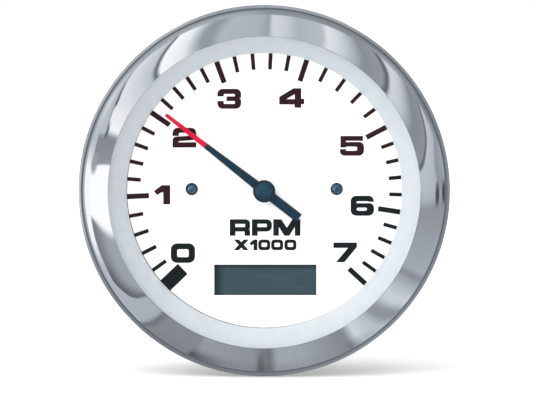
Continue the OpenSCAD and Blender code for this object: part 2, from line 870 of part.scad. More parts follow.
// Rotary switch on the rear of the board
module selector_body() {
    color("#26303a") stand() translate(selector_at) difference() {
        block(selector_w, selector_w, selector_z, board_back);
        rod(selector_d / 2 + bearing_fit, selector_z - past, board_back - selector_cover);
    }
}

// Selector shaft, reaching through the rear wall to its screwdriver slot
module selector_rotor() {
    color("#d8d8d0") stand() translate(selector_at) difference() {
        union() {
            rod(selector_d / 2, selector_end, board_back - selector_cover - fit);
            rod(selector_d / 2 + selector_collar, selector_z - selector_collar - fit, selector_z - fit);
        }
        block(selector_d + past, slot_w, selector_end - past, selector_end + slot_h);
    }
}

// Places of the two mounting studs
module at_studs() {
    for (side = [-1, 1]) translate([side * stud_pitch / 2, 0, 0]) children();
}

// Places of the three terminals
module at_terminals() {
    for (x = term_places) translate([x, term_y, 0]) children();
}

// Outline of the case, turned about its axis
module case_outline() {
    difference() {
        union() {
            band(0, case_r - case_round, -case_depth, trim_back);
            band(0, case_r, case_round - case_depth, trim_back);
            translate([case_r - case_round, case_round - case_depth]) circle(case_round);
            band(0, flange_r, flange_z, flange_z + flange_t);
            band(0, trim_r, flange_z, trim_back);
        }
        band(0, case_in_r, case_floor, bezel_h);
        band(0, neck_r, dial_back, bezel_h);
        band(0, counter_r, counter_z, bezel_h);
    }
}

// Moulded case with its flange, inner ribs and rear bosses
module case() {
    color("#1c1d20") stand() difference() {
        union() {
            rotate_extrude() case_outline();
            for (i = [0:rib_count - 1]) rotate((i + 0.5) * 360 / rib_count)
                translate([case_in_r - rib_in, -rib_w / 2, case_floor - case_base_t / 2])
                    cube([rib_in + case_wall / 2, rib_w, frame_back - case_floor + case_base_t / 2]);
            at_studs() rod(stud_boss_r, strap_front, -case_depth + case_base_t / 2);
            at_terminals() rod(term_boss_r, term_seat, -case_depth + case_base_t / 2);
        }
        at_studs() rod(stud_r + bolt_fit, strap_front - past, case_floor + past);
        at_terminals() rod(term_r + bolt_fit, term_seat - past, case_floor + past);
        translate(lamp_at) rod(lamp_body_d / 2 + 2 * fit, -case_depth - past, case_floor + past);
        translate(selector_at) rod(selector_d / 2 + 2 * fit, -case_depth - past, case_floor + past);
    }
}

// Soft ring behind the bezel
module panel_gasket() {
    color("#303234") turned() band(case_r + 2 * fit, case_r + 2 * fit + gasket_w, 0, gasket_t);
}

// Studs with six-sided heads inside the case and plain points at their free ends
module mounting_studs() {
    color("silver") stand() at_studs() {
        translate([0, 0, case_floor]) cylinder(r = stud_head_af / 2 / cos(30), h = stud_head_t, $fn = 6);
        rod(stud_r, stud_end + stud_point_l, case_floor);
        pointed_bar(stud_point_d / 2, stud_end + stud_point_l, stud_end);
    }
}

// Quarter ring of a bend: its centre, then the signs of the quadrant that it fills
module bend(c, sx, sz) {
    translate(c) intersection() {
        difference() {
            circle(bend_r + strap_t);
            circle(bend_r);
        }
        in_quadrant(sx, sz) square(bend_r + strap_t + past);
    }
}

// Puts the first quadrant into the wanted one
module in_quadrant(sx, sz) {
    mirror([sx < 0 ? 1 : 0, 0]) mirror([0, sz < 0 ? 1 : 0]) children();
}

// Half of the clamp's side outline
module strap_side() {
    base_end = leg_in - bend_r;
    foot_start = leg_out + bend_r;
    translate([0, strap_back]) square([base_end, strap_t]);
    bend([base_end, strap_front + bend_r], 1, -1);
    translate([leg_in, strap_front + bend_r]) square([strap_t, foot_back - bend_r - strap_front - bend_r]);
    bend([foot_start, foot_back - bend_r], -1, 1);
    translate([foot_start, foot_back]) square([foot_end - foot_start, strap_t]);
}

// U-shaped clamp with feet that press on the rear of the panel
module clamp_bracket() {
    color("lightgray") stand() difference() {
        rotate([90, 0, 0]) linear_extrude(strap_w, center = true) {
            strap_side();
            mirror([1, 0]) strap_side();
        }
        at_studs() rod(stud_r + 2 * fit, strap_back - past, strap_front + past);
    }
}

// Split washers under the clamp nuts
module stud_washers() {
    color("gray") stand() at_studs() split_washer(stud_r + split_w, stud_r + fit, split_t, strap_back);
}

// Nuts that draw the clamp against the panel
module stud_nuts() {
    color("silver") stand() at_studs() nut(nut_af, nut_t, stud_r + bearing_fit, nut_front);
}

// Brass studs that carry the current from the rear nuts to the board
module terminal_studs() {
    color("goldenrod") stand() at_terminals() {
        pointed_bar(term_r, board_back, term_end);
        translate([0, 0, case_floor]) cylinder(r = term_af / 2 / cos(30), h = term_nut_t, $fn = 6);
    }
}

// Plain washers on the terminal studs
module terminal_washers() {
    color("darkkhaki") stand() at_terminals() for (i = [0, 2]) difference() {
        rod(term_af / 2 + term_washer_rim, term_stack[i] - term_washer_t, term_stack[i]);
        rod(term_r + fit, term_stack[i] - term_washer_t - past, term_stack[i] + past);
    }
}

// Nuts on the terminal studs: one holds the stud, the other the wire
module terminal_nuts() {
    color("khaki") stand() at_terminals() for (i = [1, 3])
        nut(term_af, term_nut_t, term_r + bearing_fit, term_stack[i]);
}

// Places of the lamp's two contact blades
module at_blades() {
    for (side = [-1, 1]) translate([0, side * blade_x, 0]) children();
}

// Twist-in socket with its flange on the rear wall and two finger wings
module lamp_socket() {
    body_r = lamp_body_d / 2;
    flange_back = -case_depth - lamp_flange_t;
    color("#222428") stand() translate(lamp_at) difference() {
        union() {
            rod(lamp_flange_d / 2, flange_back, -case_depth);
            rod(body_r, -case_depth, case_floor + lamp_in);
            rod(body_r - lamp_step, lamp_end, flange_back);
            block(lamp_flange_d - lamp_edge, lamp_wing_t, lamp_end, flange_back);
        }
        rod(bulb_d / 2 - lamp_rim, case_floor, case_floor + lamp_in + past);
        at_blades() block(blade_w + 2 * fit, blade_t + 2 * fit, lamp_end - past, blade_front + fit);
    }
}

// Two blades that the lamp's wires push on to
module lamp_contacts() {
    color("khaki") stand() translate(lamp_at) at_blades()
        block(blade_w, blade_t, lamp_end - blade_out, blade_front);
}

// Lamp with a glass envelope and a wedge base in the socket
module lamp_bulb() {
    r = bulb_d / 2;
    top = case_floor + lamp_in + bulb_l;
    wedge_w = 1.3 * r;
    color("aliceblue", 0.5) stand() translate(lamp_at) {
        rod(r, case_floor + lamp_in, top - r);
        intersection() {
            translate([0, 0, top - r]) sphere(r);
            rod(r, top - r, top);
        }
        block(wedge_w, wedge_t, case_floor + lamp_rim, case_floor + lamp_in);
    }
}

bezel();
lens();
lens_gasket();
trim_ring();
dial_plate();
scale_marks();
dial_screws();
pointer();
pointer_cap();
spindle();
rotor_magnet();
bobbin_front();
bobbin_rear();
coil_inner();
coil_outer();
shield_can();
support_frame();
circuit_board();
board_screws();
driver_chip();
capacitors();
display_panel();
display_holder();
display_contacts();
selector_body();
selector_rotor();
case();
panel_gasket();
mounting_studs();
clamp_bracket();
stud_washers();
stud_nuts();
terminal_studs();
terminal_washers();
terminal_nuts();
lamp_socket();
lamp_contacts();
lamp_bulb();
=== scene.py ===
# %% [markdown]
# # A tachometer with a polished bezel
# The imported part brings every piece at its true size. This lesson dresses it: it builds fine surfaces where
# the light gives a plain solid away, gives each piece the finish of the real one, and lights the whole for
# a picture from the front. Seen face up, a point has x to the right, y to the top of the dial and a height
# above the panel, all in millimetres. In the part's own frame the dial looks along -Y.

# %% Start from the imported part
import functools
import math

import bmesh
import bpy
import mathutils
import numpy as np
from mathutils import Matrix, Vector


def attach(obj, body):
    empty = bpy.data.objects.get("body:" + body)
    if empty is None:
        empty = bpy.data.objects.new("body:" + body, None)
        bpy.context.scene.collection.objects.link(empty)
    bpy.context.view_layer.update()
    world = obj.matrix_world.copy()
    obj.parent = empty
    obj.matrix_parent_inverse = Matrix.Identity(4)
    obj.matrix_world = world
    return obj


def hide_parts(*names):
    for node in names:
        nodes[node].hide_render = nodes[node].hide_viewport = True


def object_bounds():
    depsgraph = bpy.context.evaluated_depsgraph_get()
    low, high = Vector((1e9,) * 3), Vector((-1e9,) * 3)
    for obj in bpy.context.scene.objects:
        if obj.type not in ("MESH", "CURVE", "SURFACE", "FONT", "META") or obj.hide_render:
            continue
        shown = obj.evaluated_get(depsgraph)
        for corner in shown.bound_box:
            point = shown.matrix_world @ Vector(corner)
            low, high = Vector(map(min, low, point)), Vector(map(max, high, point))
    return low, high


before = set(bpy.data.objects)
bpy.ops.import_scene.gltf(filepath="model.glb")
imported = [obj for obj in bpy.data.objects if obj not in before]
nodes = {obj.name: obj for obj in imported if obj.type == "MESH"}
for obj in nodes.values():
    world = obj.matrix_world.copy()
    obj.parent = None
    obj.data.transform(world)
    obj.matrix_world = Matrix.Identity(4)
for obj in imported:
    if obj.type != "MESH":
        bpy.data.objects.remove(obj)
cad_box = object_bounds()
MM = 0.001

# %% [markdown]
# Sizes are read from the solids, so that a new piece goes exactly where the old one is.


# %% Measure the solids
def points_of(mesh):
    """A mesh's points as an array with one (x, y, z) each."""
    flat = np.empty(len(mesh.vertices) * 3, np.float32)
    mesh.vertices.foreach_get("co", flat)
    return flat.reshape(-1, 3).astype(float)


def corners_of(node):
    """A node's corners seen face up: the frame's (x, y, z) in metres becomes (x, z, -y) in millimetres."""
    x, y, z = points_of(nodes[node].data).T / MM
    return np.stack([x, z, -y], axis=1)


def heights_of(node):
    """Lowest and highest height of a node above the panel."""
    height = corners_of(node)[:, 2]
    return height.min(), height.max()


def radii_of(node):
    """Smallest and largest distance of a node's corners from the dial's axis."""
    radius = np.hypot(*corners_of(node)[:, :2].T)
    return radius.min(), radius.max()


panel_seat, lip_top = heights_of("bezel")
opening_r, bezel_r = radii_of("bezel")
lens_back = heights_of("lens")[0]
dial_top = heights_of("dial_plate")[1]
print("bezel", round(2 * bezel_r, 2), "mm across, dial", round(lip_top - dial_top, 2), "mm below its lip")

# %% [markdown]
# ## From numbers to meshes
# Most pieces of a gauge are turned, so a mesh is a grid of rings: one way along an outline, the other way
# round an axis. Points are computed as whole arrays. Faces are made to point outwards by the sign of the
# volume that they enclose, so no surface can end up inside out.


# %% Build a mesh from rings of points
def in_frame(points):
    """Face-up millimetres to the part's frame in metres: (x, y, height) becomes (x, -height, y)."""
    points = np.asarray(points, float)
    return np.stack([points[..., 0], -points[..., 2], points[..., 1]], axis=-1) * MM


def ring_faces(rings, columns, closed):
    """Four corners for each cell between two rings. A closed outline also joins its last ring to its first."""
    i, j = np.meshgrid(np.arange(rings if closed else rings - 1), np.arange(columns), indexing="ij")
    i2, j2 = (i + 1) % rings, (j + 1) % columns
    faces = np.stack([i * columns + j, i * columns + j2, i2 * columns + j2, i2 * columns + j], axis=-1)
    return faces.reshape(-1, 4)


def tidy_mesh(mesh, sharp_deg):
    """Merges doubled points, so that poles and seams close, turns the faces outwards, and smooths all edges but
    the sharp ones."""
    work = bmesh.new()
    work.from_mesh(mesh)
    bmesh.ops.remove_doubles(work, verts=work.verts, dist=1e-7)
    bmesh.ops.delete(work, geom=[e for e in work.edges if not e.link_faces], context="EDGES")
    bmesh.ops.recalc_face_normals(work, faces=work.faces)
    if work.calc_volume(signed=True) < 0:
        bmesh.ops.reverse_faces(work, faces=work.faces)
    work.to_mesh(mesh)
    work.free()
    mesh.shade_smooth()
    mesh.set_sharp_from_angle(angle=math.radians(sharp_deg))


def add_piece(name, mesh, slot, body="housing", stands_for=(), sharp_deg=35):
    """Puts a finished mesh in the scene as a piece that rides on a body and may stand for solids."""
    tidy_mesh(mesh, sharp_deg)
    piece = bpy.data.objects.new(name, mesh)
    bpy.context.scene.collection.objects.link(piece)
    mesh.materials.append(finishes[slot])
    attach(piece, body)
    if stands_for:
        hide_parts(*stands_for)
    print(name, len(mesh.polygons), "faces")


def from_rings(name, grids, slot, closed=False, **how):
    """One piece from one or more grids of face-up points, each (rings, columns, 3)."""
    points, faces, count = [], [], 0
    for grid in grids:
        faces.append(ring_faces(*grid.shape[:2], closed) + count)
        points.append(in_frame(grid).reshape(-1, 3))
        count += len(points[-1])
    mesh = bpy.data.meshes.new(name)
    mesh.from_pydata(np.concatenate(points), [], np.concatenate(faces).tolist())
    add_piece(name, mesh, slot, **how)


def turned(outline, steps, centre=(0.0, 0.0)):
    """Surface of revolution: each (radius, height) point of an outline goes once round the axis."""
    angle = np.linspace(0, 2 * np.pi, steps, endpoint=False)
    radius, height = np.asarray(outline, float).T[..., None]
    x = centre[0] + radius * np.cos(angle)
    y = centre[1] + radius * np.sin(angle)
    return np.stack([x, y, height + 0 * angle], axis=-1)


def heading(deg):
    """The step of length 1 in a direction, counted in degrees from the right towards the top."""
    return np.array([math.cos(math.radians(deg)), math.sin(math.radians(deg))])


def arc(centre, radius, start_deg, end_deg, steps):
    """Points on a circle: the centre plus radius times (cos, sin) of evenly spaced angles."""
    angle = np.radians(np.linspace(start_deg, end_deg, steps))
    return np.asarray(centre) + radius * np.stack([np.cos(angle), np.sin(angle)], axis=1)


def box(left, low, right, high, radius=0):
    """The corners of an upright rectangle, all with the same radius."""
    return [(left, low, radius), (right, low, radius), (right, high, radius), (left, high, radius)]


def rounded(corners, steps=5):
    """A closed outline from corners (x, y, radius): each corner is an arc that touches both its sides."""
    places = np.array([c[:2] for c in corners], float)
    outline = []
    for place, before, after, corner in zip(places, np.roll(places, 1, 0), np.roll(places, -1, 0), corners):
        radius = corner[2] if len(corner) > 2 else 0
        if not radius:
            outline.append(place[None])
            continue
        to_before, to_after = (v / np.hypot(*v) for v in (before - place, after - place))
        half = math.acos(np.clip(to_before @ to_after, -1, 1)) / 2
        middle = to_before + to_after
        centre = place + middle / np.hypot(*middle) * radius / math.sin(half)
        start, end = (place + v * radius / math.tan(half) - centre for v in (to_before, to_after))
        first = math.degrees(math.atan2(start[1], start[0]))
        turn = (math.degrees(math.atan2(end[1], end[0])) - first + 180) % 360 - 180
        outline.append(arc(centre, radius, first, first + turn, steps))
    return np.concatenate(outline)


# %% [markdown]
# ## Finishes
# Each material starts from what the real piece is made of and how its surface was made. Patterns are drawn
# on the piece's own coordinates in millimetres, so a size in the code is a size on the object. One function
# adds any node, so that a finish reads as a list of steps.


# %% Add nodes
def linear(hex_colour):
    """An sRGB hex colour as the linear colour that the renderer works in."""
    srgb = np.array([int(hex_colour[i : i + 2], 16) for i in (1, 3, 5)]) / 255
    return (*np.where(srgb <= 0.04045, srgb / 12.92, ((srgb + 0.055) / 1.055) ** 2.4), 1.0)


def feed(tree, socket, value):
    """Gives an input its value: a number, a colour in hex or as a grey, another node's output, or another node,
    which stands for its first output in use."""
    if isinstance(value, bpy.types.Node):
        value = next(output for output in value.outputs if output.enabled)
    if isinstance(value, bpy.types.NodeSocket):
        tree.links.new(value, socket)
    elif isinstance(value, str):
        socket.default_value = linear(value)
    elif socket.type == "RGBA" and np.isscalar(value):
        socket.default_value = (value, value, value, 1)
    else:
        socket.default_value = value


def add(tree, kind, settings=None, *values, **named):
    """Adds one node. Settings are its own properties, or the name of its operation. Values go to its inputs in
    order, past those that the settings switch off, and named ones by name, with _ for each space."""
    made = tree.nodes.new("ShaderNode" + kind)
    settings = {"operation": settings} if isinstance(settings, str) else settings or {}
    for name, setting in settings.items():
        setattr(made, name, setting)
    for socket, value in zip([s for s in made.inputs if s.enabled], values):
        feed(tree, socket, value)
    drive(tree, made, **named)
    return made


def drive(tree, node, **named):
    """Feeds a node's inputs by name, with _ for each space."""
    for name, value in named.items():
        feed(tree, node.inputs[name.replace("_", " ")], value)


COLOUR = {"data_type": "RGBA"}  # makes a Mix node mix colours
MOST = (0.3, 0.7)  # nearly all of a noise lies between these


# %% Start a material
def empty_tree(owner):
    """Switches the nodes of a material or a world on and gives its tree, empty."""
    owner.use_nodes = True
    owner.node_tree.nodes.clear()
    return owner.node_tree


def surface(name, colour, roughness, metallic=0.0, **more):
    """Starts a material and gives it, its tree, its shader and the piece's coordinates in millimetres."""
    material = bpy.data.materials.new(name)
    tree = empty_tree(material)
    shader = add(tree, "BsdfPrincipled", Base_Color=colour, Roughness=roughness, Metallic=metallic, **more)
    add(tree, "OutputMaterial", Surface=shader)
    place = add(tree, "VectorMath", "SCALE", add(tree, "TexCoord").outputs["Object"], 1 / MM)
    return material, tree, shader, place


def cloud(tree, place, size, stretch=(1, 1, 1)):
    """A soft random pattern with patches about size millimetres across, drawn out by stretch."""
    at = add(tree, "VectorMath", "MULTIPLY", place, [1 / size / s for s in stretch])
    return add(tree, "TexNoise", Vector=at, Scale=1.0, Detail=3.0)


# %% [markdown]
# Moulded, painted and rubber surfaces differ in colour, shine and grain but are made alike: two close
# colours in soft clouds, a roughness that wanders a little, and the grain of the mould or paint as relief.


# %% Moulded and painted finishes
def moulded(name, dark, light, roughness, grain, depth):
    """A matt or satin surface: grain is the size of its texture and depth its relief, in millimetres."""
    material, tree, shader, place = surface(name, light, roughness)
    patches = add(tree, "MapRange", None, cloud(tree, place, grain * 12), *MOST)
    texture = cloud(tree, place, grain)
    drive(
        tree, shader,
        Base_Color=add(tree, "Mix", COLOUR, patches, dark, light),
        Roughness=add(tree, "MapRange", None, texture, *MOST, roughness - 0.06, roughness + 0.06),
        Normal=add(tree, "Bump", Height=texture, Distance=depth * MM),
    )
    return material


finishes = {
    "rubber_black": moulded("moulded_nitrile_rubber", "#1b1c1d", "#262829", 0.72, 0.35, 0.02),  # dull
    "trim_grey": moulded("spark_eroded_abs_pale_blue_grey", "#bcc2c8", "#c2c8ce", 0.62, 0.22, 0.006),  # soft sheen
    "dial_white": moulded("matt_enamel_on_steel_white", "#f4f5f5", "#fbfbfb", 0.55, 0.3, 0.002),  # even, no glare
    "frame_white": moulded("moulded_abs_white", "#e9e9e6", "#f3f3f1", 0.5, 0.3, 0.006),  # faint grain
    "bobbin_nylon": moulded("natural_nylon", "#d9d3bd", "#e8e3d0", 0.42, 0.4, 0.006),  # milky, a little gloss
    "holder_grey": moulded("glass_filled_nylon_dark", "#2b2f33", "#383d42", 0.55, 0.3, 0.01),  # dull and grainy
    "contact_rubber": moulded("conductive_silicone_strip", "#4c5054", "#63686d", 0.65, 0.2, 0.01),  # dull
    "selector_grey": moulded("switch_body_polyester", "#1f262c", "#2c353d", 0.5, 0.3, 0.008),  # satin
    "selector_white": moulded("acetal_ivory", "#d6d5cb", "#e4e3da", 0.4, 0.3, 0.005),  # waxy sheen
    "chip_black": moulded("moulded_epoxy", "#161616", "#222222", 0.6, 0.12, 0.008),  # fine dull grit
    "capacitor_sleeve": moulded("shrunk_pvc_sleeve_blue", "#121a3c", "#1b2550", 0.3, 0.6, 0.01),  # glossy film
    "case_black": moulded("spark_eroded_abs_black", "#151617", "#202223", 0.5, 0.28, 0.012),  # satin, even grain
    "socket_black": moulded("moulded_phenolic_black", "#17181a", "#232528", 0.42, 0.35, 0.01),  # slight gloss
    "magnet_grey": moulded("sintered_ferrite", "#2c2d30", "#3d3e42", 0.6, 0.25, 0.015),  # stony, dull
}
print(len(finishes), "moulded or painted finishes")

# %% [markdown]
# The hub cap and the dial screws get a painted shade round their rims. Both are rings about an axis, so the distance
# from that axis chooses the colour.


# %% Heads with a painted shade at the rim
def with_painted_rim_shade(name, face, rim, ring, axis, roughness, **more):
    """Colours by the distance from a head's axis: beyond the ring's radius, soft over 0.5 mm, the rim gets a painted
    shade. The right-hand side's distance counts for both sides of the dial."""
    material, tree, shader, place = surface(name, face[0], roughness, **more)
    x, _, y = add(tree, "SeparateXYZ", None, place).outputs
    across = add(tree, "Math", "SUBTRACT", add(tree, "Math", "ABSOLUTE", x), axis[0])
    up = add(tree, "Math", "SUBTRACT", y, axis[1])
    radius = add(tree, "VectorMath", "LENGTH", add(tree, "CombineXYZ", None, across, up))
    mottle = add(tree, "MapRange", None, cloud(tree, place, 1.1), 0.38, 0.62)
    # painted shade: the rim colour takes over beyond the ring's radius
    in_rim_shade = add(tree, "MapRange", None, radius, ring - 0.25, ring + 0.25)
    drive(
        tree, shader,
        Base_Color=add(tree, "Mix", COLOUR, in_rim_shade, add(tree, "Mix", COLOUR, mottle, *face), rim),
        Normal=add(tree, "Bump", Height=cloud(tree, place, 0.25), Distance=0.003 * MM),
    )
    return material


SCREW_AT = (19.9, 0.5)  # the middle of the right-hand screw
# the last colour of each head is the painted shade of its rim
finishes["cap_dark"] = with_painted_rim_shade(
    "satin_acetal_slate", ("#052c3c", "#0b3e54"), "#04151e", 2.4, (0, 0), 0.3, Specular_IOR_Level=0.3
)
finishes["screw_blue"] = with_painted_rim_shade(
    "blued_steel_domed", ("#57748a", "#6c90aa"), "#182833", 1.3, SCREW_AT, 0.12, metallic=1.0
)

# %% [markdown]
# Plated and turned metals: bright zinc is pale grey with soft clouds of its crystals, and shows fine lines where
# the clamp was rolled, the studs threaded or the nuts pressed. The drawn cup is streaked along the draw, the
# spring steel of the washers is dark and dull, the ground spindle is nearly a mirror, and brass is warm, with
# turned lines. A metal keeps the default index.


# %% Plated, drawn and turned metals
def worked_metal(name, dark, light, roughness, lines, stretch):
    """Metal with lines as fine as given, in millimetres, drawn out along an axis by stretch."""
    material, tree, shader, place = surface(name, light, roughness, metallic=1.0)
    patches = add(tree, "MapRange", None, cloud(tree, place, 2.5), *MOST)
    scratches = cloud(tree, place, lines, stretch)
    drive(
        tree, shader,
        Base_Color=add(tree, "Mix", COLOUR, patches, dark, light),
        Roughness=add(tree, "MapRange", None, scratches, *MOST, roughness - 0.08, roughness + 0.1),
        Normal=add(tree, "Bump", Height=scratches, Distance=0.004 * MM),
    )
    return material


finishes |= {
    "shield_steel": worked_metal("deep_drawn_steel", "#a9abad", "#c3c5c7", 0.34, 0.3, (1, 6, 1)),
    "clamp_zinc": worked_metal("rolled_steel_bright_zinc", "#b4b6b8", "#cfd1d2", 0.32, 0.25, (9, 1, 1)),
    "stud_steel": worked_metal("rolled_thread_bright_zinc", "#b3b5b7", "#cdcfd0", 0.3, 0.2, (1, 4, 1)),
    "screw_zinc": worked_metal("cross_head_bright_zinc", "#b3b5b8", "#cfd0d2", 0.3, 0.2, (1, 1, 1)),
    "nut_zinc": worked_metal("pressed_nut_bright_zinc", "#b0b2b4", "#cccecf", 0.3, 0.25, (1, 3, 1)),
    "washer_steel": worked_metal("tempered_spring_steel", "#77797b", "#8f9193", 0.38, 0.2, (3, 1, 3)),
    "spindle_steel": worked_metal("ground_steel", "#bfc1c3", "#d8d9db", 0.2, 0.12, (1, 8, 1)),
    "terminal_brass": worked_metal("turned_brass", "#b98f45", "#d4ac5f", 0.26, 0.18, (1, 3, 1)),
}
print(len(finishes), "finishes so far")

# %% [markdown]
# The bezel is sheet stainless steel, spun to shape and buffed to a mirror. Buffing leaves hairlines that run round
# the ring, too fine to see singly, and a faint radial bloom where the mop left the metal. Both only loosen the
# mirror a little, so they drive the roughness and hardly any relief. The mop doesn't reach into the crease beside
# the bead, so the bead is duller, and a painted shade darkens the colour in the crease.


# %% Polished stainless steel
BEAD_FROM = bezel_r - 1.0  # the radius where the bead begins


def polished_steel():
    """A mirror whose hairlines follow the ring: noise on (radius, height) times a weaker one on the angle. From the
    bead's radius outwards it is less well buffed, and the crease gets a painted shade."""
    material, tree, shader, place = surface("buffed_stainless_steel", "#dfe1e4", 0.07, metallic=1.0)
    x, depth, y = add(tree, "SeparateXYZ", None, place).outputs
    radius = add(tree, "VectorMath", "LENGTH", add(tree, "CombineXYZ", None, x, y))
    hairlines = cloud(tree, add(tree, "CombineXYZ", None, radius, depth), 0.12)
    angle = add(tree, "Math", "ARCTAN2", y, x)
    bloom = add(tree, "TexNoise", {"noise_dimensions": "1D"}, W=angle, Scale=40.0, Detail=4.0)
    both = add(tree, "Math", "MULTIPLY", hairlines, bloom)
    buffed = add(tree, "MapRange", None, both, 0.1, 0.45, 0.045, 0.06)
    bead = add(tree, "MapRange", None, radius, BEAD_FROM, BEAD_FROM + 0.15)
    steel = add(tree, "Mix", COLOUR, add(tree, "MapRange", None, bloom, *MOST), "#dee0e3", "#e0e2e5")
    steel = add(tree, "Mix", COLOUR, bead, steel, "#c4c8cc")
    # painted shade in the crease: it rises towards the bead and is gone on the bead
    crease_shade_rise = add(tree, "MapRange", None, radius, BEAD_FROM - 0.3, BEAD_FROM, 0, 0.35)
    crease_shade_end = add(tree, "MapRange", None, radius, BEAD_FROM + 0.1, BEAD_FROM + 0.3)
    crease = add(tree, "Mix", None, crease_shade_end, crease_shade_rise, 0.0)
    drive(
        tree, shader,
        Base_Color=add(tree, "Mix", COLOUR, crease, steel, "#3a3d40"),
        Roughness=add(tree, "Mix", None, bead, buffed, 0.3),
        Normal=add(tree, "Bump", Height=hairlines, Distance=0.0002 * MM),
    )
    return material


finishes["bezel_steel"] = polished_steel()

# %% [markdown]
# The print is a screen-printed ink. On the real dial it isn't quite black: it leans to a dark maroon
# in the upper half and to a dark green in the lower one.


# %% Ink
def dial_ink():
    """Near-black ink whose tint changes with the distance along one diagonal of the dial."""
    material, tree, shader, place = surface("screen_printed_ink", "#1d1a20", 0.6, Specular_IOR_Level=0.1)
    diagonal = add(tree, "VectorMath", "DOT_PRODUCT", place, (0.25, 0, -1.0))
    mottled = add(tree, "Math", "MULTIPLY_ADD", cloud(tree, place, 1.2), 4.0, diagonal)
    share = add(tree, "MapRange", None, mottled, -2, 6)
    drive(
        tree, shader,
        Base_Color=add(tree, "Mix", COLOUR, share, "#2a1017", "#0f1719"),
        Normal=add(tree, "Bump", Height=cloud(tree, place, 0.15), Distance=0.003 * MM),
    )
    return material


finishes["print_black"] = dial_ink()

# %% [markdown]
# The pointer is painted slate and its end red. Paint is brushed or sprayed against a straight mask, so the
# colour changes at a set distance along the blade, within a tenth of a millimetre.

# %% Pointer paint
POINTER_DEG = 142.1  # where the photograph shows the pointer, counted from the right towards the top
DARK_REACH = 20.4  # where the dark paint ends and the red begins


def pointer_paint():
    """Matt slate paint, and red from a set distance along the blade. That distance is the place times the blade's
    direction."""
    material, tree, shader, place = surface("matt_pointer_paint", "#1f3a4f", 0.55, Specular_IOR_Level=0.08)
    across, up = heading(POINTER_DEG)
    along = add(tree, "VectorMath", "DOT_PRODUCT", place, (across, 0, up))
    mottle = add(tree, "MapRange", None, cloud(tree, place, 0.5), *MOST)
    slate = add(tree, "Mix", COLOUR, mottle, "#0e2432", "#173244")
    red = add(tree, "Mix", COLOUR, mottle, "#ba0830", "#c80f3c")
    edge = add(tree, "MapRange", None, along, DARK_REACH - 0.06, DARK_REACH + 0.06)
    drive(
        tree, shader,
        Base_Color=add(tree, "Mix", COLOUR, edge, slate, red),
        Normal=add(tree, "Bump", Height=cloud(tree, place, 0.2), Distance=0.003 * MM),
    )
    return material


finishes["pointer_dark"] = pointer_paint()

# %% [markdown]
# The display is a liquid crystal cell at rest: glass over a slate reflector. A painted shadow of the window's edges
# lies on it as a dark margin.

# %% Display
SHADOW_LEFT, SHADOW_TOP = -12.15, -21.2  # where the painted shadow of the window's edges begins


def display_glass():
    """A slate reflector with a faint level grain under smooth glass. A painted shadow of the window's edges lies at
    the left and, narrower and weaker, at the top."""
    material, tree, shader, place = surface("resting_lcd", "#4c6068", 0.22, IOR=1.5)
    grain = cloud(tree, place, 0.18, (40, 1, 1))
    slate = add(tree, "Mix", COLOUR, add(tree, "MapRange", None, grain, *MOST), "#27393f", "#344a52")
    x, _, y = add(tree, "SeparateXYZ", None, place).outputs
    # painted shadow of the window's edges, at the left and at the top
    left = add(tree, "MapRange", None, x, SHADOW_LEFT - 0.8, SHADOW_LEFT + 1.25, 1, 0)
    top = add(tree, "MapRange", None, y, SHADOW_TOP - 0.2, SHADOW_TOP + 0.2, 0, 0.6)
    window_shadow = add(tree, "Math", "MAXIMUM", left, top)
    drive(
        tree, shader,
        Base_Color=add(tree, "Mix", COLOUR, window_shadow, slate, "#04282d"),
        Normal=add(tree, "Bump", Height=grain, Distance=0.001 * MM),
    )
    return material


finishes["display_slate"] = display_glass()

# %% [markdown]
# The lens and the lamp's bulb are clear. A wall this thin hardly moves what is behind it, so it is drawn as a
# clear surface that mirrors a little, and more at a flat angle. Light then falls through it without noise.


# %% Clear lens and bulb
def clear(name, head_on, haze):
    """Transparent mixed with a gloss. The gloss has a small share head on and grows with the fifth power of how
    flat the surface is seen, on both of its sides alike."""
    material = bpy.data.materials.new(name)
    tree = empty_tree(material)
    flatness = add(tree, "LayerWeight", Blend=0.5).outputs["Facing"]
    share = add(tree, "Math", "MULTIPLY_ADD", add(tree, "Math", "POWER", flatness, 5.0), 1 - head_on, head_on)
    through, mirror = add(tree, "BsdfTransparent", Color=1.0), add(tree, "BsdfGlossy", Color=1.0, Roughness=haze)
    add(tree, "OutputMaterial", Surface=add(tree, "MixShader", None, share, through, mirror))
    return material


finishes["lens_clear"] = clear("cast_acrylic_clear", 0.008, 0.02)
finishes["bulb_glass"] = clear("blown_glass_clear", 0.035, 0.03)

# %% [markdown]
# Behind the dial: windings of enamelled copper wire, and a circuit board under green solder mask. The wire
# is drawn coarser than it is, so that a close view shows it.


# %% Windings and board
def wound_wire():
    """Copper wire laid side by side: stripes across the winding with dark gaps. The node's bands lie 0.36 mm over
    its scale apart, here 0.8 mm."""
    material, tree, shader, place = surface("enamelled_copper_wire", "#b06a3a", 0.3, metallic=1.0)
    wires = add(tree, "TexWave", {"bands_direction": "DIAGONAL"}, place, 0.45, 0.4).outputs["Fac"]
    share = add(tree, "MapRange", None, wires, 0.1, 0.6)
    drive(
        tree, shader,
        Base_Color=add(tree, "Mix", COLOUR, share, "#5a2d18", "#bd7443"),
        Normal=add(tree, "Bump", Height=wires, Distance=0.1 * MM),
    )
    return material


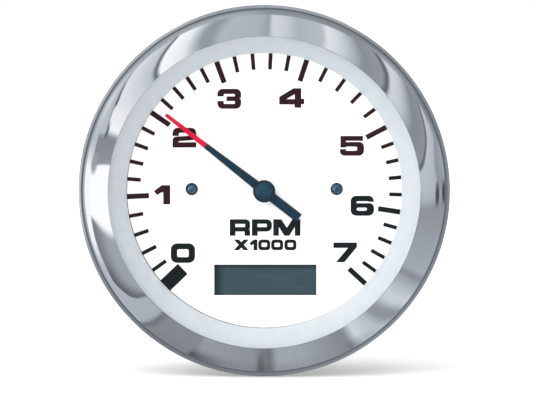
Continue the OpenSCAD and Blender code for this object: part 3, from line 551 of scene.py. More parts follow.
def solder_mask():
    """Green lacquer with copper tracks that show through as paler lines, two to the millimetre."""
    material, tree, shader, place = surface("green_solder_mask", "#12482c", 0.3)
    in_a_plane = {"feature": "DISTANCE_TO_EDGE", "voronoi_dimensions": "2D"}
    cells = add(tree, "TexVoronoi", in_a_plane, Vector=place, Scale=2.0)
    share = add(tree, "MapRange", None, cells, 0.04, 0.09, 1, 0)
    drive(
        tree, shader,
        Base_Color=add(tree, "Mix", COLOUR, share, "#0e3d25", "#1f6a3f"),
        Normal=add(tree, "Bump", Height=share, Distance=0.03 * MM),
    )
    return material


finishes["coil_copper"] = wound_wire()
finishes["board_green"] = solder_mask()

# %% [markdown]
# A solid comes with a slot that is named for its finish, so every solid can be dressed at once. Those that
# keep their shape need no more than this.

# %% Dress the solids
slot_of = {name: node.material_slots[0].material.name for name, node in nodes.items()}
for node in nodes.values():
    for slot in node.material_slots:
        slot.material = finishes[slot.material.name]
print(len(finishes), "finishes on", len(nodes), "nodes")

# %% [markdown]
# ## The bezel
# The bezel is one sheet, spun over a former: an edge turned in over the lens at the front, a dome, a bead at
# the panel and an edge turned under the flange of the case. Its outline is drawn once as a closed line of
# (radius, height) points and turned. The light shows every flat facet on a mirror, so this outline has far
# more points than the solid needs. Dome and bead are two arcs, cut off where they meet in a sharp crease.

# %% The bezel's outline
SHEET, EDGE = 0.7, 0.1  # thickness of the sheet, and how far its edge is rounded at the lens
BEAD = 0.75  # radius of the bead
DOME_TURN = 56.0  # degrees that the dome turns through, from the lens to inside the bead
CRIMP_EDGE = 0.1  # the corners of the edge that is turned under
HAIR = 0.01  # a gap too small to see
bead_c = np.array([bezel_r - BEAD, panel_seat + BEAD])
dome_top = np.array([opening_r + EDGE, lip_top])
dome_foot = np.array([bezel_r - 0.95, panel_seat + 1.1])
chord = dome_top - dome_foot
inwards = np.array([-chord[1], chord[0]]) / np.hypot(*chord)
half_turn = math.radians(DOME_TURN / 2)
dome_r = np.hypot(*chord) / 2 / math.sin(half_turn)
dome_c = (dome_top + dome_foot) / 2 + dome_r * math.cos(half_turn) * inwards
top_deg = math.degrees(math.atan2(*(dome_top - dome_c)[::-1]))
foot_deg = top_deg - DOME_TURN
face = arc(dome_c, dome_r, foot_deg, top_deg, 76)
face = face[np.hypot(*(face - bead_c).T) > BEAD + HAIR]  # the face ends where it meets the bead
bead = arc(bead_c, BEAD, -90, 180, 60)
bead = bead[np.hypot(*(bead - dome_c).T) > dome_r + HAIR]
edge = arc(dome_top - EDGE * heading(top_deg), EDGE, top_deg + 8, 180, 7)
inside = arc(dome_c, dome_r - SHEET, top_deg - 2, foot_deg, 26)
sheet_points = corners_of("bezel")
turned_under = sheet_points[sheet_points[:, 2] < panel_seat + SHEET + HAIR]
crimp_r = np.hypot(turned_under[:, 0], turned_under[:, 1]).min()
crimp_top = panel_seat + SHEET
bezel_line = np.concatenate([
    face, edge, [(edge[-1][0], inside[0][1] - 0.02)], inside,
    [(dome_foot[0] - SHEET - 0.5, crimp_top), (crimp_r + CRIMP_EDGE, crimp_top), (crimp_r, crimp_top - CRIMP_EDGE)],
    [(crimp_r, panel_seat + CRIMP_EDGE), (crimp_r + CRIMP_EDGE, panel_seat)], bead,
])
from_rings(
    "domed_bezel", [turned(bezel_line, 384)], "bezel_steel", closed=True, stands_for=["bezel"], sharp_deg=50
)
print("dome radius", round(dome_r, 2), "mm, crease at", round(face[0][0], 2), "mm")

# %% [markdown]
# ## The sloping ring round the dial
# This ring is moulded, and every edge of a moulding has a small radius. Those radii catch the thin light
# line at its outer edge and the thin dark one where it meets the dial. The soft gasket between the bezel and
# the panel is a plain ring with rounded edges.

# %% Trim ring and gasket
dial_open, trim_r = radii_of("trim_ring")
slope_top = opening_r + 0.25
trim_line = rounded([
    (dial_open, dial_top, 0.15), (dial_open + 2.1, dial_top), (dial_open + 3.2, dial_top + 1.1),  # foot on the dial
    (dial_open + 3.2, dial_top + 1.6), (slope_top + 1.7, lens_back - 1), (trim_r, lens_back - 1, 0.2),  # back
    (trim_r, lens_back, 0.2), (slope_top, lens_back, 0.35),  # rim under the lens
])
from_rings("sloping_ring", [turned(trim_line, 256)], "trim_grey", closed=True, stands_for=["trim_ring"])
seal_in, seal_out = radii_of("panel_gasket")
seal_line = rounded(box(seal_in, 0, seal_out, panel_seat, 0.3))
from_rings("panel_seal", [turned(seal_line, 256)], "rubber_black", closed=True, stands_for=["panel_gasket"])

# %% [markdown]
# ## Print on the dial
# The wide, squared numerals are ink 0.05 mm thick. Each is an outline of corners with the radius that the
# pen would give, filled by Blender's own curve filling and turned into a mesh. A second outline inside the
# first is a hole.


# %% Flat pieces from outlines
def flat_pieces(name, outlines, thickness, slot, lay, **how):
    """Plates cut to outlines. Each is centred in its thickness at height 0, and lay() moves the points."""
    curve = bpy.data.curves.new(name + "_outline", "CURVE")
    curve.dimensions, curve.fill_mode, curve.extrude = "2D", "BOTH", thickness / 2
    for outline in outlines:
        spline = curve.splines.new("POLY")
        spline.points.add(len(outline) - 1)
        flat = np.concatenate([outline, np.zeros((len(outline), 1)), np.ones((len(outline), 1))], axis=1)
        spline.points.foreach_set("co", flat.ravel())
        spline.use_cyclic_u = True
    drawn = bpy.data.objects.new(curve.name, curve)
    mesh = bpy.data.meshes.new_from_object(drawn)
    bpy.data.objects.remove(drawn)
    bpy.data.curves.remove(curve)
    mesh.vertices.foreach_set("co", in_frame(lay(points_of(mesh))).ravel())
    mesh.materials.clear()
    add_piece(name, mesh, slot, **how)


# %% [markdown]
# A sign is given by the corners of its outline and of its hole, in millimetres from its lower left corner. A
# third number rounds a corner. Numerals are placed by their middle, the letters of the legend by their corner.

# %% Shapes of the signs
NUMERALS = {
    "0": [box(0, 0, 6.5, 5.2, 1.6), box(1.6, 1.4, 4.9, 3.75, 0.5)],
    "1": [[(2.54, 0), (4.29, 0), (4.29, 5.1), (2.06, 5.1), (0, 3.54), (0.79, 2.54), (1.9, 3.3, 0.5), (2.54, 3.3)]],
    "2": [[
        (0, 0), (6.34, 0), (6.34, 1.27), (1.5, 1.27, 0.1), (1.5, 1.72, 0.1), (6.34, 2.1, 1.1), (6.34, 5.25, 1.3),
        (0, 5.25, 1.3), (0, 3.19), (1.57, 3.19), (1.57, 4.07, 0.35), (4.77, 4.07, 0.35), (4.77, 3.06, 0.3),
        (0, 2.76, 0.9),
    ]],
    "3": [[
        (0, 0, 1.3), (6.34, 0, 1.3), (6.34, 2.5, 0.5), (5.71, 2.72), (6.34, 2.95, 0.5), (6.34, 5.3, 1.3),
        (0, 5.3, 1.3), (0, 3.39), (1.57, 3.39), (1.57, 4.06, 0.3), (4.77, 4.06, 0.3), (4.77, 3.23, 0.25),
        (2.48, 3.23), (2.48, 2.09), (4.77, 2.09, 0.25), (4.77, 1.16, 0.3), (1.57, 1.16, 0.3), (1.57, 1.97),
        (0, 1.97),
    ]],
    "4": [
        [
            (0, 0.87), (4.2, 0.87), (4.2, 0), (5.88, 0), (5.88, 0.96), (6.69, 0.96), (6.69, 2.27), (5.88, 2.27),
            (5.88, 5.16), (3.85, 5.16), (0, 2.84),
        ],
        [(1.57, 2.19), (4.24, 2.19), (4.24, 3.76)],
    ],
    "5": [[
        (0.05, 0, 1.2), (6.54, 0, 1.3), (6.54, 3.6, 1.2), (1.6, 3.6, 0.2), (1.6, 4.09), (6.26, 4.09), (6.26, 5.25),
        (0.24, 5.25), (0.24, 2.26), (1.6, 2.26), (1.75, 2.5, 0.1), (4.8, 2.5, 0.4), (4.8, 1.2, 0.4), (1.6, 1.2, 0.2),
        (1.6, 1.64), (0.05, 1.64),
    ]],
    "6": [
        [
            (0, 0, 1.4), (6.26, 0, 1.4), (6.26, 3.32, 1.2), (1.49, 3.26, 0.15), (1.49, 3.98, 0.3), (4.8, 3.98),
            (4.8, 3.85), (6.2, 3.85), (6.2, 5.34, 1.3), (0, 5.34, 1.4),
        ],
        box(1.5, 1.22, 4.5, 2.23, 0.5),
    ],
    "7": [[(0, 5.25), (6.3, 5.25), (6.3, 4.15), (2.9, 0), (0.8, 0), (4.1, 3.94), (0, 3.94)]],
}
NUMERAL_CENTRES = {  # the middle of each on the dial
    "0": (-22.33, -17.13), "1": (-28.03, -1.08), "2": (-21.9, 14.61), "3": (-9.58, 25.28),
    "4": (7.54, 25.5), "5": (24.06, 12.36), "6": (26.94, -4.1), "7": (22.25, -16.93),
}
LETTERS = {
    "R": [
        [
            (0, 0), (1.4, 0), (1.4, 1.15), (4.06, 1.15, 0.15), (4.06, 0), (5.43, 0), (5.43, 1.35, 0.4),
            (5.1, 1.65), (5.43, 1.95, 0.5), (5.43, 4.36, 1.1), (0, 4.36),
        ],
        [(1.36, 2.22), (4.22, 2.22, 0.2), (4.22, 3.26, 0.3), (1.36, 3.26)],
    ],
    "P": [
        [(0, 0), (1.42, 0), (1.42, 1.15), (5.36, 1.15, 1.3), (5.36, 4.36, 1.3), (0, 4.36)],
        [(1.38, 2.22), (4.1, 2.22, 0.3), (4.1, 3.29, 0.3), (1.38, 3.29)],
    ],
    "M": [[
        (0, 0), (1.38, 0), (1.38, 2.6), (3.0, 0), (4.29, 0), (5.91, 2.6), (5.91, 0), (7.29, 0), (7.29, 4.36),
        (5.2, 4.36), (3.65, 2.0), (2.1, 4.36), (0, 4.36),
    ]],
    "X": [[
        (0, 0), (1.2, 0), (1.91, 0.75), (2.62, 0), (3.82, 0), (2.5, 1.39), (3.82, 2.78), (2.62, 2.78),
        (1.91, 2.03), (1.2, 2.78), (0, 2.78), (1.32, 1.39),
    ]],
    "1": [[(1.1, 0), (2.0, 0), (2.0, 2.78), (1.15, 2.78), (0, 1.85), (0.42, 1.35), (1.1, 1.8)]],
    "0": [box(0, 0, 3.13, 2.78, 0.85), box(0.73, 0.76, 2.41, 2.06, 0.35)],
}
LEGEND = [
    ("R", -9.38, -12.27), ("P", -3.31, -12.27), ("M", 2.57, -12.27),
    ("X", -8.2, -16.26), ("1", -3.95, -16.26), ("0", -1.55, -16.26), ("0", 1.99, -16.26), ("0", 5.63, -16.26),
]
print(len(NUMERALS), "numerals and", len(LEGEND), "signs of the legend")

# %% [markdown]
# A squeegee presses a little ink past the edge of the screen, so every sign is drawn a hair fatter than its
# outline. The scale isn't even: from one number to the next it is between 33 and 45 degrees.


# %% Signs and marks
def bled(outline, amount):
    """Moves an outline's sides out by a distance: each corner goes along the sum of its two sides' normals,
    divided by one plus their product, so that both sides move alike."""
    x, y = outline.T
    turning = np.sign(np.sum(x * np.roll(y, -1) - np.roll(x, -1) * y))
    side = np.roll(outline, -1, 0) - outline
    side /= np.hypot(*side.T)[:, None]
    normal = turning * np.stack([side[:, 1], -side[:, 0]], axis=1)
    before = np.roll(normal, 1, 0)
    return outline + amount * (normal + before) / (1 + np.sum(normal * before, axis=1))[:, None]


def drawn(shape, corner):
    """A sign's outlines, bled, with the lower left corner at a place on the dial. Its hole shrinks as the rest
    grows."""
    outside, *holes = (rounded(line) for line in shape)
    return [line + np.asarray(corner) for line in (bled(outside, BLEED), *(bled(hole, -BLEED) for hole in holes))]


def centred(shape, centre):
    """A sign's outlines with the middle of the outside at a place on the dial."""
    outside = rounded(shape[0])
    return drawn(shape, np.asarray(centre) - (outside.min(0) + outside.max(0)) / 2)


def mark(direction_deg, inner, width):
    """A straight mark that ends just inside the sloping ring: four corners, turned to its direction."""
    out = heading(direction_deg)
    aside = np.array([-out[1], out[0]]) * width / 2
    return np.array([inner * out - aside, MARK_END * out - aside, MARK_END * out + aside, inner * out + aside])


def short_from(direction_deg):
    """Where a short mark begins. The inner ends lie on a curve a little wider than a circle: a cosine squared for
    the width, a cosine for its offset to the right, and a sine below the middle, where it turns in."""
    across, up = heading(direction_deg)
    return SHORT_FROM + 0.83 * across * across + 0.18 * across + 1.05 * min(0, up)


INK, BLEED = 0.05, 0.085  # thickness of the ink, and how far it runs out from the screen's edge
MARKED = [223.8, 182.4, 145.2, 110.25, 72.0, 27.6, -8.9, -42.6]  # directions of 0 to 7 in degrees
ZERO_FROM, ZERO_W = 31.0, 3.9  # radius where the block at 0 begins, and its width
LONG_FROM, LONG_W = 31.65, 1.42  # the same for the marks at 1 to 7
SHORT_FROM, SHORT_W = 33.36, 1.04  # the same for those between them
MARK_END, MARK_STEPS = dial_open + 0.14, 5  # the marks end under the rounded foot of the sloping ring
WINDOW_EDGE_SHADE = box(-13.75, -20.64, 14.35, -20.3)  # painted shade: a dark strip over the display's window, whose upper edge lies in shade


def on_dial(points):
    """Lifts a print's points from height 0 to the face of the dial."""
    return points + (0, 0, dial_top + INK / 2)


numeral_lines = [line for n, shape in NUMERALS.items() for line in centred(shape, NUMERAL_CENTRES[n])]
legend_lines = [line for letter, x, y in LEGEND for line in drawn(LETTERS[letter], (x, y))]
scale_lines = [mark(MARKED[0], ZERO_FROM, ZERO_W)] + [mark(d, LONG_FROM, LONG_W) for d in MARKED[1:]]
for start, end in zip(MARKED, MARKED[1:]):
    between_them = np.linspace(start, end, MARK_STEPS + 1)[1:-1]
    scale_lines += [mark(d, short_from(d), SHORT_W) for d in between_them]
# the painted shade over the window is laid with the printed marks
scale_lines.append(rounded(WINDOW_EDGE_SHADE))
flat_pieces("numerals", numeral_lines, INK, "print_black", on_dial)
flat_pieces("legend", legend_lines, INK, "print_black", on_dial)
flat_pieces("printed_scale", scale_lines, INK, "print_black", on_dial, stands_for=["scale_marks"])

# %% [markdown]
# A painted shade lies at the dial's edge in the lower left, where the sloping ring meets the dial. It is a thin dark
# piece in the ink's finish, shaped as a sickle between the ring's edge and a circle whose middle is moved to the
# upper right.

# %% Painted shade at the dial's edge
OFF_X, OFF_Y = 0.16, 0.12  # how far the middle of the shade's inner circle lies off the dial's
lowest = math.degrees(math.atan2(-OFF_Y, -OFF_X)) % 360
shown = np.radians(np.linspace(lowest - 85, lowest + 85, 96))
around = np.stack([np.cos(shown), np.sin(shown)], axis=1)
inner_r = np.minimum(MARK_END + OFF_X * around[:, 0] + OFF_Y * around[:, 1], MARK_END - HAIR)
edge_shade = np.concatenate([MARK_END * around, (inner_r[:, None] * around)[::-1]])
# painted shade, as a thin dark piece on the dial
flat_pieces("painted_edge_shade", [edge_shade], INK * 0.7, "print_black", on_dial)

# %% [markdown]
# ## Pointer, cap and dial screws
# The blade is stamped and its edges are broken, so its section is a low trapezium. The section is swept
# along the blade while its width follows the taper. A round boss under the blade sits on the spindle.


# %% Pointer
def swept(stations, section, direction_deg):
    """Sweeps a section along a direction: each station is (distance, half width, thickness share), and the
    section's points are (side, height) with side from -1 to 1. The ends shrink to a point so that they close."""
    along, half, share = np.asarray(stations, float).T[..., None]
    side, height = np.asarray(section, float).T
    c, s = heading(direction_deg)
    u, v, w = along + 0 * side, half * side, height * share + 0 * along
    middle = section.mean(0)[1] * (share == 0)
    return np.stack([u * c - v * s, u * s + v * c, w + middle], axis=-1)


BLADE_T, TAIL, TAIL_HALF = 0.6, 12.1, 1.3  # the blade's thickness, its tail's length and half width
BOSS_R, BOSS_H = 1.6, 0.9
cap_back, cap_top = heights_of("pointer_cap")
cap_r = radii_of("pointer_cap")[1]
blade_z = cap_back - BLADE_T
tip = radii_of("pointer")[1]
section = np.array([
    (-1, 0), (-1, BLADE_T / 2), (-0.55, BLADE_T), (0.55, BLADE_T), (1, BLADE_T / 2), (1, 0)
])
stations = [
    (-TAIL, 0, 0), (-TAIL, TAIL_HALF, 1), (0, TAIL_HALF, 1), (DARK_REACH, 0.75, 1), (tip - 0.25, 0.475, 1),
    (tip, 0.24, 0.8), (tip, 0, 0),
]
blade = swept(stations, section, POINTER_DEG) + (0, 0, blade_z)
boss_back, boss_front = blade_z - BOSS_H, blade_z + 0.05
boss = turned([(0, boss_back), (BOSS_R, boss_back), (BOSS_R, boss_front), (0, boss_front)], 48)
from_rings("pointer_blade", [blade, boss], "pointer_dark", body="pointer", stands_for=["pointer"], sharp_deg=25)

# %% [markdown]
# The cap is moulded and covers the middle of the blade. It has a rounded rim, a sloping shoulder, and a fine
# groove round the middle of its face.

# %% Hub cap
cap_line = np.concatenate([
    [(0, cap_back), (cap_r - 0.05, cap_back), (cap_r, cap_back + 0.05)],
    arc((cap_r - 0.35, cap_top - 0.85), 0.35, 0, 65, 8),  # rim
    [(2.3, cap_top - 0.46), (1.35, cap_top - 0.04)],  # shoulder
    [(1.25, cap_top - 0.07), (1.15, cap_top - 0.07), (1.05, cap_top), (0, cap_top)],  # groove and middle
])
from_rings("hub_cap", [turned(cap_line, 96)], "cap_dark", body="pointer", stands_for=["pointer_cap"], sharp_deg=40)

# %% [markdown]
# The dial screws have low domed heads. A dome is part of a ball, whose radius follows from the head's radius
# and height: half of (radius squared plus height squared) over the height.

# %% Domed dial screws
SHANK_R, RIM_H = 0.9, 0.12  # the shank's radius, and the height of the head's straight rim
both_screws = corners_of("dial_screws")
screw = both_screws[both_screws[:, 0] > 0]
low, high = screw.min(0), screw.max(0)
screw_c = (low + high) / 2
head_r, head_h = (high[0] - low[0]) / 2, high[2] - dial_top
ball = (head_r**2 + head_h**2) / 2 / head_h
half_deg = math.degrees(math.asin(head_r / ball)) - 5  # the dome stops short of the rim, which rounds the edge
screw_line = np.concatenate([
    arc((0, dial_top + head_h - ball), ball, 90, 90 - half_deg, 12),
    [(head_r, dial_top + RIM_H), (head_r, dial_top), (SHANK_R, dial_top), (SHANK_R, low[2]), (0, low[2])],
])
screws = [turned(screw_line, 64, (side * screw_c[0], screw_c[1])) for side in (-1, 1)]
from_rings("domed_screws", screws, "screw_blue", stands_for=["dial_screws"], sharp_deg=40)

# %% [markdown]
# ## Fastenings at the back
# Studs have rolled threads: the radius rises and falls with height while the ridge climbs by one pitch for
# each turn. Nuts are cut from hexagonal bar and their corners are turned, which leaves the curved edges
# that a chamfer cone makes with six flats.


# %% Threads and hexagons
def threaded(radius, front, thread_from, end, pitch, centre, point_r, point_l):
    """A rod with a thread: the radius falls by a ridge that depends on height over pitch plus angle over a turn.
    The thread fades out at both ends, and the free end is a plain point with a broken edge."""
    rows = int((thread_from - end) / pitch * 10)
    height = np.concatenate([[front], np.linspace(thread_from, end, rows)])[:, None]
    turn = np.linspace(0, 1, 48, endpoint=False)
    ridge = np.clip(abs(2 * ((height / pitch + turn) % 1) - 1) * 1.5 - 0.25, 0, 1)  # flat at crest and root
    from_end = height - end
    fade = np.clip((thread_from - height) / pitch, 0, 1) * np.clip((from_end - point_l) / pitch, 0, 1)
    r = np.where(from_end < point_l, point_r, radius - 0.6 * pitch * fade * ridge)
    r = np.minimum(r, 0.75 * point_r + from_end)
    angle = 2 * np.pi * turn
    body = np.stack([centre[0] + r * np.cos(angle), centre[1] + r * np.sin(angle), height + 0 * angle], axis=-1)
    ends = [np.array([*centre, z]) + 0 * body[:1] for z in (front, end)]
    return np.concatenate([ends[0], body, ends[1]])


def hexagonal(across, thickness, bore, top, centre):
    """A nut below a height: at each angle the radius is the flat's distance over the cosine to its middle, cut
    back by the chamfer cone near both faces. With no bore it is a head."""
    angle = np.linspace(0, 2 * np.pi, 96, endpoint=False)
    hexagon = across / 2 / np.cos((angle + np.pi / 6) % (np.pi / 3) - np.pi / 6)
    depth = np.concatenate([np.linspace(0, 1, 9), np.linspace(thickness - 1, thickness, 9)])[:, None]
    cone = across / 2 * 0.97 + np.minimum(depth, thickness - depth) * 1.73  # 60 degrees steep
    side = np.minimum(hexagon, cone)
    inside = bore + 0 * side[:1]
    r = np.concatenate([inside, side, inside, inside])
    height = top - np.concatenate([[[0]], depth, [[thickness]], [[0]]])
    return np.stack([centre[0] + r * np.cos(angle), centre[1] + r * np.sin(angle), height + 0 * r], axis=-1)


CASE_FLOOR = -45.4  # height of the case's floor, on which the hexagons stand
HEAD_T, RUNNING = 3.0, 0.05  # a hexagon's thickness, and the play of a nut on its stud
STUD_R, STUD_PITCH, STUD_HEAD, STUD_NUT = 2.4, 0.8, 9.0, 9.5
STUD_POINT_R, STUD_POINT = 2.0, 3.0  # radius and length of the stud's plain point
stud_sides = [(-25, 0), (25, 0)]
stud_end = heights_of("mounting_studs")[0]
studs = [
    threaded(STUD_R, CASE_FLOOR, CASE_FLOOR, stud_end, STUD_PITCH, c, STUD_POINT_R, STUD_POINT) for c in stud_sides
]
studs += [hexagonal(STUD_HEAD, HEAD_T, 0, CASE_FLOOR + HEAD_T, c) for c in stud_sides]
from_rings("threaded_studs", studs, "stud_steel", stands_for=["mounting_studs"], sharp_deg=40)
nut_end, nut_front = heights_of("stud_nuts")
nuts = [hexagonal(STUD_NUT, nut_front - nut_end, STUD_R + RUNNING, nut_front, c) for c in stud_sides]
from_rings("clamp_nuts", nuts, "nut_zinc", stands_for=["stud_nuts"], sharp_deg=30)

# %% [markdown]
# The three terminals are brass posts with a hexagon inside the case. Outside each carries two nuts, with a
# washer under each of them.

# %% Terminals
TERMINAL_R, TERMINAL_PITCH, TERMINAL_HEX, WASHER_T = 2.05, 0.7, 7.9, 0.6
terminal_sides = [(-16, -24), (0, -24), (16, -24)]
board_back = heights_of("circuit_board")[0]
post_end = heights_of("terminal_studs")[0]
posts = [
    threaded(TERMINAL_R, board_back, CASE_FLOOR, post_end, TERMINAL_PITCH, c, TERMINAL_R, 0) for c in terminal_sides
]
posts += [hexagonal(TERMINAL_HEX, HEAD_T, 0, CASE_FLOOR + HEAD_T, c) for c in terminal_sides]
from_rings("terminal_posts", posts, "terminal_brass", stands_for=["terminal_studs"], sharp_deg=40)
washer_front = heights_of("terminal_washers")[1]
post_nuts = [
    hexagonal(TERMINAL_HEX, HEAD_T, TERMINAL_R + RUNNING, washer_front - drop, c)
    for c in terminal_sides
    for drop in (WASHER_T, 2 * WASHER_T + HEAD_T)
]
from_rings("terminal_post_nuts", post_nuts, "terminal_brass", stands_for=["terminal_nuts"], sharp_deg=30)

# %% [markdown]
# ## Broken edges
# No moulded or pressed part has a perfectly sharp edge. These pieces keep their solid's shape, and a copy
# gets each sharp edge broken by a small round: the flat triangles are first joined to whole faces.


# %% Copies with broken edges
def with_broken_edges(name, node, width):
    """A copy of a node whose edges sharper than 40 degrees get a round as broad as given, in millimetres."""
    mesh = nodes[node].data.copy()
    mesh.name = name
    work = bmesh.new()
    work.from_mesh(mesh)
    bmesh.ops.remove_doubles(work, verts=work.verts, dist=2e-6)
    bmesh.ops.dissolve_limit(work, angle_limit=math.radians(0.5), verts=work.verts, edges=work.edges)
    sharp = [e for e in work.edges if len(e.link_faces) == 2 and e.calc_face_angle(0) > math.radians(40)]
    bmesh.ops.bevel(
        work, geom=sharp, offset=width * MM, segments=2, profile=0.5, affect="EDGES", clamp_overlap=True
    )
    work.to_mesh(mesh)
    work.free()
    if mesh.attributes.get("custom_normal"):
        mesh.attributes.remove(mesh.attributes["custom_normal"])
    mesh.materials.clear()
    add_piece(name, mesh, slot_of[node], stands_for=[node], sharp_deg=38)


for name, node, width in (
    ("case_moulding", "case", 0.25), ("clamp_strap", "clamp_bracket", 0.2),
    ("split_washers", "stud_washers", 0.12), ("plain_washers", "terminal_washers", 0.08),
    ("twist_socket", "lamp_socket", 0.2), ("switch_box", "selector_body", 0.2),
):
    with_broken_edges(name, node, width)

# %% [markdown]
# ## Lamp blades
# The socket's two blades are stamped from brass strip, with rounded ends and a hole. They are cut flat, side by
# side, and then stood up to face each other.

# %% Lamp blades
BLADE_W, STRIP_T, HOLE_R, HOLE_UP = 6.3, 0.8, 0.8, 2.4
LAMP_X, LAMP_Y, BLADE_APART = 11.0, 26.0, 2.4  # where the socket stands, and how far a blade is off its middle
SPREAD = 10.0  # the two outlines lie this far to each side while they are flat
blade_low, blade_high = heights_of("lamp_contacts")
blade_lines = []
for side in (-SPREAD, SPREAD):
    left, right = side - BLADE_W / 2, side + BLADE_W / 2
    ends = [(left, blade_low, 1.2), (right, blade_low, 1.2), (right, blade_high), (left, blade_high)]
    blade_lines += [rounded(ends), arc((side, blade_low + HOLE_UP), HOLE_R, 0, 345, 24)]


def in_socket(points):
    """Stands the two flat blades up: the outline's second direction becomes height, and the plates face each
    other."""
    side = np.sign(points[:, 0])
    x, y = LAMP_X + points[:, 0] - side * SPREAD, LAMP_Y + side * BLADE_APART + points[:, 2]
    return np.stack([x, y, points[:, 1]], axis=1)


flat_pieces("lamp_blades", blade_lines, STRIP_T, "terminal_brass", in_socket, stands_for=["lamp_contacts"])

# %% [markdown]
# ## Light, floor and camera
# A polished bezel shows the studio more than itself. Round the gauge stand soft boards in several greys, with
# narrow gaps, and beside it the white table shows as a bright strip. All are painted on the world by their
# direction: how far round the dial, in degrees from the right towards the top, and how far from the front
# towards the back, as a reach from 0 to 1. Only mirror-like surfaces see them. The camera sees plain white,
# and matt surfaces get an even soft light.

# %% Directions in the studio
CAMERA_DEG = 3.0  # the camera looks down by this much
NEAR, FAR = 44.0, 156.0  # degrees from the front at which the reach is 0 and 1
SOFT = {"interpolation_type": "SMOOTHSTEP"}  # makes a Map Range node rise softly between two values
world = bpy.data.worlds.new("studio")
bpy.context.scene.world = world
sky = functools.partial(add, empty_tree(world))  # adds a node to the world

way = sky("SeparateXYZ", None, sky("TexCoord").outputs["Generated"]).outputs
from_front = sky("Math", "DEGREES", sky("Math", "ARCCOSINE", sky("Math", "MULTIPLY", way[1], -1.0)))
reach = sky("MapRange", None, from_front, NEAR, FAR)
raised = sky("Math", "ADD", way[2], math.sin(math.radians(CAMERA_DEG)))
round_dial = sky("Math", "FLOORED_MODULO", sky("Math", "DEGREES", sky("Math", "ARCTAN2", raised, way[0])), 360.0)


def light_of(grey):
    """The light of a grey from 0 to 255 as a picture shows it."""
    return ((grey / 255 + 0.055) / 1.055) ** 2.4


def round_ramp(angle, stops, read=float):
    """A value that goes evenly through stops, each (degrees, value). read() may turn the values into others."""
    start, end = stops[0][0], stops[-1][0]
    ramp = sky("ValToRGB", None, sky("MapRange", None, angle, start, end))
    points = ramp.color_ramp.elements
    for _ in stops[2:]:
        points.new(0.5)
    for point, (degrees, _) in zip(points, stops):
        point.position = (degrees - start) / (end - start)
    for point, (_, value) in zip(points, stops):
        point.color = (*[read(value)] * 3, 1)
    return ramp


# %% [markdown]
# The boards follow one another round the dial. Each has a grey at both of its ends, and in the gap to the
# next one the grey goes evenly from one to the other. They don't stand straight out from the dial's axis but
# lean round it, the more the farther back they reach.

# %% The boards
BOARDS = [  # from and to in degrees, and the greys at both ends
    (0, 7.3, 186, 194), (8.2, 9.2, 95, 100), (10.5, 22, 146, 138), (32, 38, 202, 214), (39.5, 41, 100, 110),
    (42.5, 51, 152, 142), (61, 66.5, 210, 228), (68.5, 78, 190, 179), (82.5, 87.2, 206, 213), (88.2, 92, 160, 176),
    (95, 105.5, 179, 184), (110, 114, 152, 156), (121, 131, 236, 252), (132.3, 133.5, 104, 110),
    (135, 158, 195, 246), (160, 169, 137, 148), (171, 200, 255, 255), (206, 216, 190, 184), (222, 229, 178, 175),
    (230.3, 231.3, 112, 120), (232.5, 247, 138, 138), (248, 266.5, 156, 147), (268, 272, 132, 118),
    (274.5, 283, 167, 165), (297, 299.5, 139, 140), (302.5, 308.5, 214, 190), (311.5, 314.5, 150, 150),
    (318.5, 321, 206, 208), (328, 329, 168, 160), (330, 330.8, 140, 142), (332.5, 354, 170, 148),
    (357, 360, 180, 186),
]
LEANS = [  # at a direction, how many degrees the boards lean round at a reach of 0.6
    (0, 4), (7, 18), (12, 22), (18, 19), (28, 20), (43, 8.5), (52, 10), (70, 3), (88, 0), (100, -7), (112, -8),
    (120, -13), (130, -14), (152, -3), (165, 3), (180, 0), (190, -11), (196, -12), (222, -2), (246, -1), (260, 0),
    (300, 0), (316, 3), (328, 0), (352, 0), (360, 4),
]
SPAN = 60.0  # a ramp's values lie between 0 and 1, which stand for leans from -30 to 30 degrees
lean = sky("Math", "SUBTRACT", round_ramp(round_dial, LEANS, lambda degrees: 0.5 + degrees / SPAN), 0.5)
lean = sky("Math", "MULTIPLY", lean, SPAN)
lean = sky("Math", "MULTIPLY", lean, sky("Math", "POWER", sky("Math", "DIVIDE", reach, 0.6), 1.5))
straight = sky("Math", "FLOORED_MODULO", sky("Math", "SUBTRACT", round_dial, lean), 360.0)
edges = [(degrees, grey) for board in BOARDS for degrees, grey in zip(board[:2], board[2:])]
half = len(edges) // 2  # a ramp holds 32 stops at most
halves = round_ramp(straight, edges[:half], light_of), round_ramp(straight, edges[half:], light_of)
boards = sky("Mix", COLOUR, sky("Math", "GREATER_THAN", straight, edges[half - 1][0] + 1), *halves)

# %% [markdown]
# Large shapes stand before the boards, each cut off at a line that is given by its reach. At the lower left an
# arch of shadow lies on the near side of its line and darkens towards it. At the upper left a pale wedge lies
# beyond its line, which has a fine dark edge in parts. Round the upper half the table runs as a strip, and
# behind it runs a darker rim.

